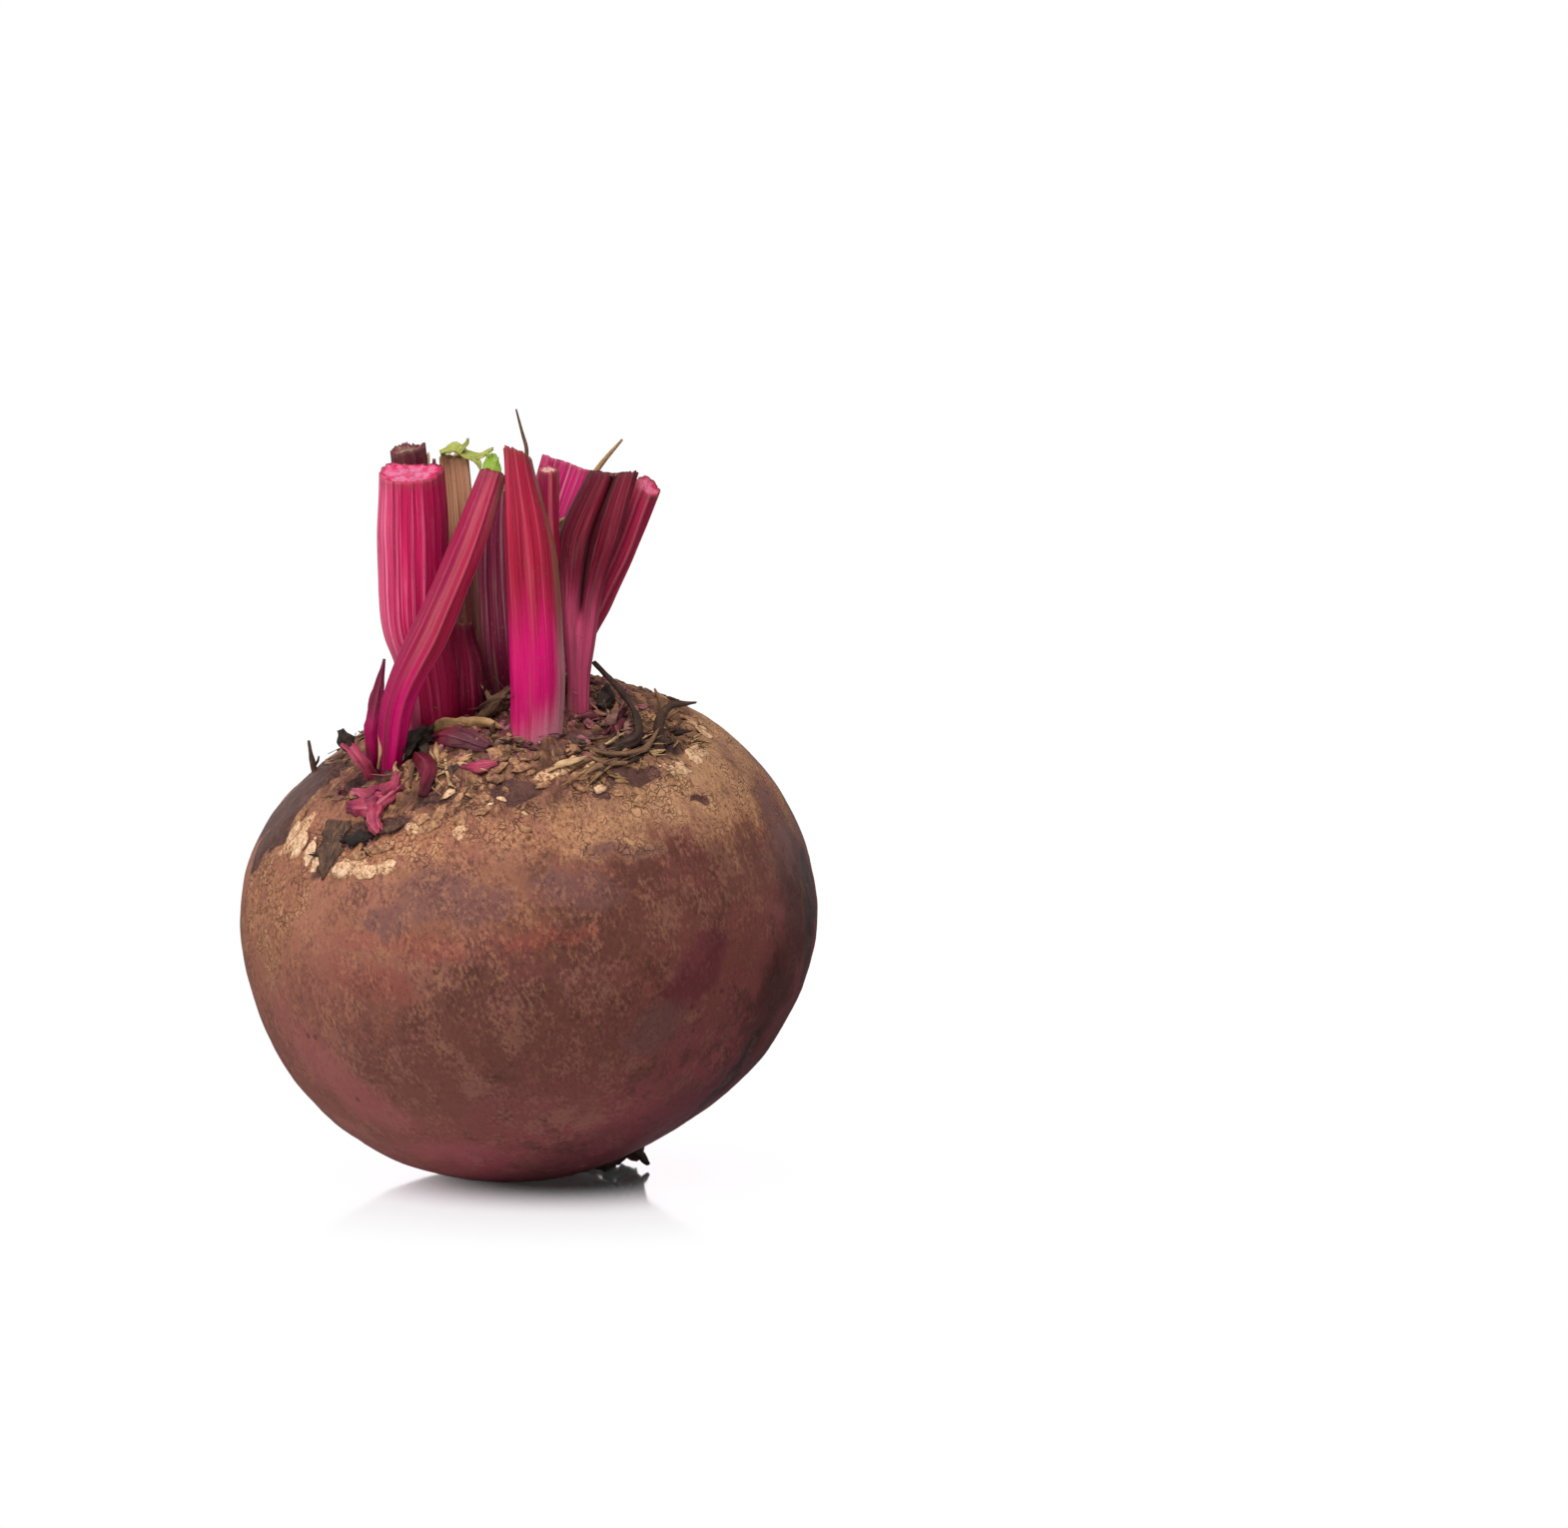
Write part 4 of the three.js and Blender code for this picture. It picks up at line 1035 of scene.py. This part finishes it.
# Strips of dry leaf that were torn off short, each with its look
STRIPS = [
    ("tan_husk", [(-14.2, -17.2, 73.2), (-12.4, -18.4, 73.8), (-9.6, -20, 74.4), (-6.2, -21.4, 75),
      (-3, -23.6, 74.7)],
     [0.6, 1, 0.8, 0.4, 0.1], [1, 1.5, 1.5, 1.4, 0.6], [1.6, 2.8, 2.4, 1.8, 0.8]),
    ("tan_husk", [(-14.6, -22, 71.2), (-13.8, -26, 69.4), (-13.4, -29.6, 67)],
     [0.2, 0.5, 0.2], [0.4, 0.8, 0.3], [0.4, 0.6, 0.3]),
    ("tan_husk", [(-12.4, -24, 71.2), (-11.9, -28, 68.9), (-11.4, -31, 66.8)],
     [0.2, 0.5, 0.2], [0.3, 0.8, 0.3], [0.4, 0.6, 0.3]),
    ("brown_husk", [(-16.6, -22, 70), (-17, -25.4, 68.2), (-17.6, -28, 66)],
     [0.3, 0.6, 0.2], [0.4, 0.9, 0.3], [0.4, 0.6, 0.3]),
    ("tan_husk", [(-13.6, -19.6, 72.2), (-13.4, -23.4, 71), (-13, -27, 69.2)],
     [0.3, 0.7, 0.2], [0.4, 1, 0.4], [0.4, 0.6, 0.3]),
    ("tan_husk", [(-15.4, -20.6, 71.2), (-15.6, -24, 69.8), (-16.6, -27.6, 67)],
     [0.3, 0.7, 0.2], [0.4, 0.9, 0.3], [0.4, 0.6, 0.3]),
    ("cream_husk", [(4, -31.8, 69.1), (5.8, -31, 69.7), (8.2, -29.9, 70.3), (10.5, -28.1, 71.1)],
     [0.1, 0.5, 0.6, 0.1], [0.3, 1.3, 1.1, 0.3], [0.3, 0.6, 0.6, 0.3]),
    ("brown_husk", [(10, -26.6, 71.4), (14.6, -26.4, 70.8), (18.6, -23.4, 71), (20.4, -18.6, 73)],
     [0.2, 0.7, 0.9, 2], [0.4, 1, 1, 0.3], [0.4, 0.6, 0.6, 0.3]),
    ("brown_husk", [(9.6, -28, 71), (13.4, -28.4, 69.8), (17, -26.4, 70)],
     [0.2, 0.5, 0.2], [0.4, 1, 0.3], [0.4, 0.5, 0.3]),
    ("dark_husk", [(18, -21.6, 72), (22.4, -18.6, 72), (26, -15.4, 71.6)],
     [0.2, 0.5, 0.2], [0.5, 1.4, 0.4], [0.4, 0.6, 0.3]),
    ("rosy_husk", [(11.4, -20.6, 74), (13.6, -20, 75.4), (14.8, -17.8, 77.8)],
     [0.2, 1, 2.2], [1, 2.2, 0.8], [0.5, 0.8, 0.4]),
    ("rosy_husk", [(15.4, -22, 73), (16.8, -19.4, 74.8), (17.2, -16, 76.8)],
     [0.2, 1, 1.4], [1, 2.2, 0.8], [0.5, 0.8, 0.4]),
    ("wine_husk", [(12.2, -22.6, 73.6), (14.4, -21, 74.6), (16, -18.4, 76)],
     [0.1, 0.6, 1], [0.8, 1.7, 0.6], [0.5, 0.7, 0.4]),
    ("black_husk", [(11.4, -16, 75.6), (12.6, -14.6, 77.8), (13, -12.6, 80)],
     [0.4, 1.2, 2], [1.4, 2.6, 0.8], [0.8, 1, 0.4]),
    ("black_husk", [(-16.5, -17.3, 72), (-15.4, -17.6, 73.6), (-13.8, -17.6, 75.4)],
     [0.2, 1.4, 2.6], [2.6, 3, 0.8], [1.4, 1.4, 0.6]),
    ("black_husk", [(-19.2, -19.8, 70.4), (-17, -19.4, 71.8), (-14, -19, 72.6)],
     [0.4, 1.2, 0.5], [1, 2.8, 1], [1.2, 1.8, 0.8]),
    ("black_husk", [(-17.4, -18, 71.4), (-18.2, -18.4, 72.8), (-19.4, -18.2, 74.4)],
     [0.4, 1.6, 2.8], [1.6, 1.7, 0.4], [1, 1, 0.4]),
    ("black_husk", [(-15.6, -20.4, 71.2), (-15.2, -22, 70.8), (-15.4, -23.6, 70)],
     [0.3, 0.8, 0.3], [2, 1.9, 0.5], [1.2, 1.2, 0.5]),
    ("black_husk", [(-19.4, -20.8, 70), (-17.8, -21, 72.4), (-15.4, -20, 74.8)],
     None, [2, 3.6, 1.4], [1.2, 1.8, 0.8]),
    ("black_husk", [(-27, -20.6, 71.2), (-28.4, -20, 72.8), (-29, -19.6, 74.2)],
     None, [1.5, 2.2, 1.1], [1.4, 2, 0.9]),
    ("black_husk", [(13.2, 2.6, 6.4), (15, 1.9, 3.9), (16.6, 1.6, 2.2)], None, [2.4, 2, 0.6],
     [1.2, 0.9, 0.4]),
    ("black_husk", [(15.4, 3.2, 5), (17.6, 2.8, 4.8), (19.6, 2.4, 5.4)], None, [2.6, 1.8, 0.4],
     [1.2, 0.8, 0.3]),
    ("black_husk", [(12.2, 2.4, 5.6), (13.1, 1.6, 3.8), (13.2, 1.5, 2.3)], None, [2, 1.4, 0.5],
     [1, 0.8, 0.3]),
    ("black_husk", [(16.6, 3.4, 3.6), (18.3, 3.2, 2), (19.4, 3, 0.7)], None, [2.4, 2, 0.8],
     [1.2, 1, 0.5]),
    ("black_husk", [(12, 11, 2.4), (15, 11.6, 2.2), (17.4, 11.6, 1.6)], None, [3, 2.8, 1], [3, 2.6, 0.9]),
    ("black_husk", [(7.6, 9, 1.5), (10.8, 10.4, 1.6), (13.8, 11.4, 1.6)], None, [1.6, 2.4, 2],
     [1.6, 2.2, 2]),
    ("cream_husk", [(-15.6, -7, 108), (-15.4, -7, 113), (-15.2, -7, 116.8)], None, [1.2, 1.4, 0.7],
     [0.6, 0.7, 0.4]),
    ("dark_husk", [(3.4, 1.6, 75), (3.8, 2, 90), (4.8, 1.8, 102.4)], None, [1, 0.8, 0.7],
     [0.8, 0.7, 0.6]),
    ("wine_husk", [(-14.4, -6, 108), (-14.3, -6, 112), (-14.3, -6, 115.6)], None, [1.8, 2, 1.2],
     [0.7, 0.7, 0.4]),
    ("black_husk", [(10.8, -2.4, 1), (13, -3.6, 1.6), (15.2, -5, 2.4)], [-0.2, 0.4, 0.3], [1.2, 2.6, 0.6],
     [0.7, 1.2, 0.4]),
    ("black_husk", [(12.6, -1, 1.6), (14.6, -1.8, 2.2), (16.6, -2.6, 3)], [0, 0.6, 0.4], [1.4, 2.6, 0.6],
     [0.7, 1.2, 0.4]),
    ("brown_husk", [(15.6, 6, 5), (17, 7.4, 3.4), (17.4, 8, 1.8)], None, [2.4, 2, 0.5], [1.2, 0.9, 0.4]),
    ("tan_husk", [(-22.9, -19.4, 68), (-23.2, -21.6, 72), (-23.6, -22, 76)],
     [0.6, 3.4, 6.8], [0.9, 1, 0.3], [0.5, 0.5, 0.3]),
    ("black_husk", [(-28.6, -27, 57.6), (-25.6, -29, 58.2), (-23, -30.6, 58.8)],
     [0.2, 0.7, 0.2], [0.8, 2.4, 0.8], [0.5, 0.8, 0.4]),
    ("dark_husk", [(-22.4, -31, 59.8), (-20.2, -31.8, 59.8), (-18.2, -32, 60.6)],
     [0.2, 0.6, 0.2], [0.5, 1.6, 0.4], [0.4, 0.7, 0.3]),
]


def strips():
    """The torn strips, in one piece for each look."""
    for look in sorted({strip[0] for strip in STRIPS}):
        bm = bmesh.new()
        for seed, (own, route, lifts, width, depth) in enumerate(STRIPS):
            if own == look:
                out = (Vector(route[1]) * MM - CENTRE).normalized()
                piece = dict(route=route, width=width, depth=depth, faces=out,
                             crumple=(0.5 if own == "black_husk" else 0.2) + 0.12 * max(width),
                             tint=0.35 + 0.3 * (seed % 3) / 2)
                if lifts:
                    piece["lifts"] = lifts
                grow(bm, piece, seed * 3.1 + 90, sides=16, rings=20, cap_rings=2)
        add_growth(f"torn_{look}", bm, LOOKS[look])


# Where fine fibres lie: the middle, spread, number, length, how far they stand up, share of each look
NESTS = [
    ((-16, -18, 72), 2, 22, 4, 0.4, {"dark": 6, "brown": 2, "wine": 3}),
    ((-19, -24, 68), 2, 12, 4, 0.2, {"tan": 4, "brown": 3, "wine": 3}),
    ((-12, -27, 69), 2.4, 18, 4, 0.1, {"tan": 6, "brown": 3}),
    ((-25, -28.6, 59), 2.2, 16, 3.4, 0.1, {"dark": 6, "brown": 3, "wine": 2}),
    ((-30, -26, 57), 1.6, 12, 4, 0.1, {"dark": 6, "brown": 2}),
    ((-28, -19.4, 64), 2, 12, 4, 0.15, {"brown": 4, "wine": 4, "tan": 1}),
    ((9, -26, 73), 1.6, 20, 3, 0.4, {"dark": 7, "brown": 2}),
    ((13, -27, 70.6), 2, 22, 5, 0.1, {"brown": 4, "tan": 5, "dark": 2}),
    ((18, -22, 72), 2, 18, 5, 0.15, {"dark": 4, "brown": 5, "tan": 3}),
    ((14, -19, 76), 2, 34, 4, 0.35, {"dark": 5, "brown": 4, "wine": 6}),
    ((22, -17, 73), 1.6, 14, 4.4, 0.2, {"dark": 5, "brown": 4, "tan": 3}),
    ((25.6, -15, 71.6), 1.6, 10, 3.6, 0.1, {"tan": 5, "brown": 3}),
    ((21.4, -11, 74.6), 0.8, 5, 3.4, 0.5, {"tan": 5, "brown": 2}),
    ((-1, -27, 73), 2.4, 16, 3.4, 0.15, {"brown": 5, "dark": 4, "wine": 4}),
    ((-30, -2, 67), 2.4, 8, 3, 0.05, {"brown": 5, "dark": 4}),
    ((-24, 12, 68), 4, 24, 5, 0.1, {"brown": 5, "dark": 4, "tan": 3}),
    ((-8, 24, 70), 5, 40, 5, 0.2, {"brown": 5, "dark": 4, "tan": 3, "wine": 2}),
    ((12, 22, 71), 4, 30, 5, 0.1, {"brown": 5, "dark": 4, "tan": 3, "wine": 2}),
    ((20, 6, 75), 2.6, 14, 4, 0.02, {"brown": 5, "dark": 4, "tan": 3}),
    ((-3, -8, 75), 7, 60, 5, 0.7, {"brown": 4, "wine": 4, "dark": 3}),
]


def fibre(bm, chance, middle, spread, length, stand):
    """Adds one thin strip that starts near the middle of its nest and mostly points away from the
    crown."""
    start = on_skin([c + chance.gauss(0, spread * 0.6) for c in middle], 0) * MM
    out = (start - CENTRE).normalized()
    away = (out - CROWN_AXIS * out.dot(CROWN_AXIS)).normalized()
    sideways = out.cross(away)
    bearing = chance.gauss(0, 0.6) + chance.choice((-1.5, 0, 0, 1.5))
    heading = away * math.cos(bearing) + sideways * math.sin(bearing)
    bow = chance.uniform(-1.1, 1.1)
    long = length * chance.uniform(0.6, 1.7) * MM
    height = stand * chance.uniform(0.1, 1.4)
    route = []
    for k in range(4):
        share = k / 3
        place = start + (heading + sideways * bow * share * share) * long * share * (1 - 0.4 * height)
        lift = (-0.3 + 0.6 * share) + height * long / MM * share**1.4
        route.append(on_skin(place / MM, lift))
    thick = chance.uniform(0.12, 0.34) + chance.random() ** 5
    piece = dict(
        route=route, faces=out + sideways * chance.uniform(-1, 1), tint=chance.random(), crumple=0.12,
        width=[thick * 1.4, thick * 1.6, thick, 0.15],
        depth=[thick * 0.6, thick * 0.5, thick * 0.4, 0.12],
        twist=chance.uniform(-90, 90), wobble=0.1, tear=0)
    grow(bm, piece, chance.uniform(0, 99), sides=6, rings=6, cap_rings=0)


def fibres():
    """The fine fibres, in one piece for each look."""
    chance = random.Random(11)
    meshes = {look: bmesh.new() for look in ("dark", "brown", "tan", "wine")}
    for middle, spread, number, length, stand, shares in NESTS:
        for _ in range(number):
            look = chance.choices(list(shares), shares.values())[0]
            fibre(meshes[look], chance, middle, spread, length, stand)
    for look, bm in meshes.items():
        add_growth(f"fibres_{look}", bm, LOOKS[f"{look}_husk"])


# Flakes of cork that stand off the skin: the look, the place, half the length, half the width, the turn
FLAKES = [
    ("tan", (-36, -15, 59.4), 2.4, 1.3, 75), ("cream", (-35.4, -20, 56), 2.6, 1.7, 80),
    ("cream", (-36.4, -17, 57.6), 2.4, 1.2, 60), ("cream", (-33.6, -23, 55), 2.6, 1.3, 85),
    ("tan", (-34, -13, 62), 1.6, 0.9, 45), ("cream", (-32.2, -25, 53.6), 1.6, 1, 70),
    ("cream", (-28, -31, 53.6), 2, 1.1, 10), ("cream", (-24.6, -33.8, 53.4), 2.2, 1.1, 0),
    ("cream", (-20.7, -35.5, 55.1), 1.2, 0.8, 20), ("tan", (-26, -31.6, 56), 2, 0.8, 8),
    ("tan", (-22, -33, 57), 2.2, 0.8, 15), ("tan", (-14.5, -34.9, 61), 2.2, 1.1, 30),
    ("tan", (-12.9, -34, 63), 1.6, 1, 60), ("tan", (-9.4, -36.4, 62.4), 1.4, 1, 80),
    ("tan", (-6.6, -34.2, 65.4), 1.6, 1, 20), ("tan", (-10, -33.4, 65), 1.5, 0.8, 70),
    ("cream", (26.9, -19, 69.5), 1.9, 1.3, -50), ("cream", (24.6, -23.5, 68.3), 2.4, 0.8, -15),
    ("tan", (22.2, -24, 69.5), 1.8, 0.8, -20), ("tan", (26.1, -7.6, 74), 2.4, 1, -30),
    ("cream", (28.4, -9.5, 72.2), 2, 0.9, -40), ("tan", (15.3, -32.3, 65.9), 1.4, 0.8, 0),
    ("tan", (9, -31, 68), 2, 0.8, 10), ("tan", (0, -31.4, 70), 1.6, 0.7, 10),
]
# Rings of scattered flakes: the look, the angle from the crown axis and its spread, the number
FLAKE_RINGS = [
    ("tan", 33, 2.2, 20), ("tan", 38, 2.2, 22), ("cream", 41, 2.2, 9), ("tan", 44, 2.2, 16),
    ("tan", 29, 2.6, 46), ("brown", 28, 3, 40), ("wine", 28, 3, 30),
    ("brown", 19, 7, 60), ("wine", 18, 7, 70), ("dark", 18, 6, 34), ("tan", 25, 4, 30),
]
FLAKE_COLOURS = {
    "cream": [(120, 84, 58), (196, 152, 114), (232, 198, 166)],
    "tan": [(80, 51, 37), (134, 91, 64), (180, 134, 97)],
    "brown": [(52, 32, 26), (98, 66, 52), (146, 106, 80)],
    "wine": [(58, 22, 30), (112, 52, 62), (164, 106, 108)],
    "dark": [(30, 19, 17), (58, 40, 34), (98, 70, 56)],
}


def flake(bm, chance, place, half_length, half_width, turn):
    """Adds a thin domed plate with an uneven outline."""
    out, length, width = mark_frame(place, turn)
    middle = on_skin(place, 0) * MM
    seed = chance.uniform(0, 99)
    bow = chance.uniform(-0.3, 0.3)
    thick = chance.uniform(0.15, 0.34)
    for v in add_copy(bm, ball(3 if half_length > 1.3 else 2)):
        x, y, z = v.co
        angle = Vector((x, y, 0))
        edge = 1 + 0.45 * noise.noise(angle * 1.6 + Vector((seed, 0, 0)))
        rough = 0.16 * noise.noise(Vector((x * half_length * 1.6, y * half_width * 1.6, seed)))
        v.co = middle + (
            length * x * half_length * edge
            + width * (y * half_width * edge + bow * x * x)
            + out * (z * thick * (1 - 0.3 * x * x) + rough + 0.1)
        ) * MM


def flakes():
    chance = random.Random(5)
    meshes = {look: bmesh.new() for look in FLAKE_COLOURS}
    for look, place, half_length, half_width, turn in FLAKES:
        flake(meshes[look], chance, place, half_length, half_width, turn)
    for look, tilt, spread, number in FLAKE_RINGS:
        for _ in range(number):
            down = math.radians(tilt + chance.gauss(0, spread))
            around = chance.uniform(0, 2 * math.pi)
            level = math.sin(down)
            way = Vector((level * math.cos(around), level * math.sin(around), math.cos(down)))
            place = (CENTRE + TO_CROWN @ way * 40 * MM) / MM
            half_length = chance.uniform(0.6, 1.6)
            flake(meshes[look], chance, place, half_length, half_length * chance.uniform(0.35, 0.7),
                  chance.gauss(0, 30 if tilt > 30 else 60))
    for look, bm in meshes.items():
        f = Finish(f"{look}_cork", Specular_IOR_Level=0.3)
        grain = f.noise(f.object_place, 1600, 4, 0.65)
        patch = f.noise(f.object_place, 350, 3)
        f.colour = f.ramp(grain * 0.6 + patch * 0.4, list(zip((0.36, 0.47, 0.6), FLAKE_COLOURS[look])))
        add_growth(f"{look}_flakes", bm, f.end(0.7 + (grain - 0.5) * 0.3, grain, 0.2))


# Table and light

TABLE_RADIUS = 0.3
PAINTED_REFLECTION_GLOW = (111.35, 48.39, 89.04)  # painted reflection: a faint pink glow round the mirror image of the beetroot
LIT_PLACE = Vector((0, 0, 0.06))  # where the lamps point


def table():
    """A glossy white table top that mirrors what is close to the beetroot and fades out around it."""
    bm = bmesh.new()
    bmesh.ops.create_circle(bm, cap_ends=True, segments=96, radius=TABLE_RADIUS)
    mesh = to_mesh("table_top", bm)
    f = Finish("table_top", Metallic=1, Roughness=0.09)
    f.shader.inputs["Base Color"].default_value = (1, 0.93, 0.965, 1)
    from_middle = f.vectors("SUBTRACT", f.object_place, (0.006, 0, 0))[0]
    away = Value(f, f.vectors("LENGTH", from_middle)["Value"])
    shine = 0.73 * (1 - away.step(0.012, 0.041)) + 0.25 * (1 - away.step(0.016, 0.074))
    f.links.new(shine.socket, f.shader.inputs["Alpha"])
    # Painted reflection: a faint pink glow in a ring round the beetroot's mirror image.
    tint = f.mix(away.step(0.018, 0.04), (0, 0, 0), PAINTED_REFLECTION_GLOW)
    f.links.new(tint, f.shader.inputs["Emission Color"])
    f.shader.inputs["Emission Strength"].default_value = 1
    mesh.materials.append(f.material)
    add_object("table_top", mesh)


def lamp(name, place, size, power, colour=(1, 1, 1)):
    light = bpy.data.lights.new(name, "AREA")
    light.shape = "DISK"
    light.size = size
    light.energy = power
    light.color = colour
    hung = add_object(name, light)
    hung.location = place
    to_beetroot = LIT_PLACE - Vector(place)
    hung.rotation_euler = to_beetroot.to_track_quat("-Z", "Y").to_euler()


def studio():
    """Softboxes in a white room that is lit most on the left."""
    lamp("softbox_left", (-0.9, -0.5, 0.5), 0.6, 4)
    lamp("softbox_top", (0.06, -0.45, 1.15), 0.8, 15)
    world = bpy.data.worlds.new("white_room")
    bpy.context.scene.world = world
    world.use_nodes = True
    room = Nodes(world.node_tree)
    way = room.node("TexCoord").outputs["Generated"]
    rays = room.node("LightPath").outputs
    seen = Value(room, rays["Is Camera Ray"])
    mirrored = Value(room, rays["Is Glossy Ray"])
    rise = room.dot(way, (0, 0, 1))
    walls = 0.15 + 0.85 * rise.step(0, 0.04) * (1 - rise.step(0.25, 0.6))
    soft = 0.08 + 0.9 * room.dot(way, Vector((-0.55, -0.38, -0.75)).normalized()).step(-0.8, 1)
    strength = seen + (1 - seen) * (mirrored * walls + (1 - mirrored) * soft)
    back = room.nodes["Background"]
    back.inputs[0].default_value = (1, 1, 1, 1)
    room.links.new(strength.socket, back.inputs["Strength"])
    bpy.context.scene.view_settings.view_transform = "Standard"


table()
studio()
SKIN = skin()
stalks()
remains()
strips()
fibres()
flakes()
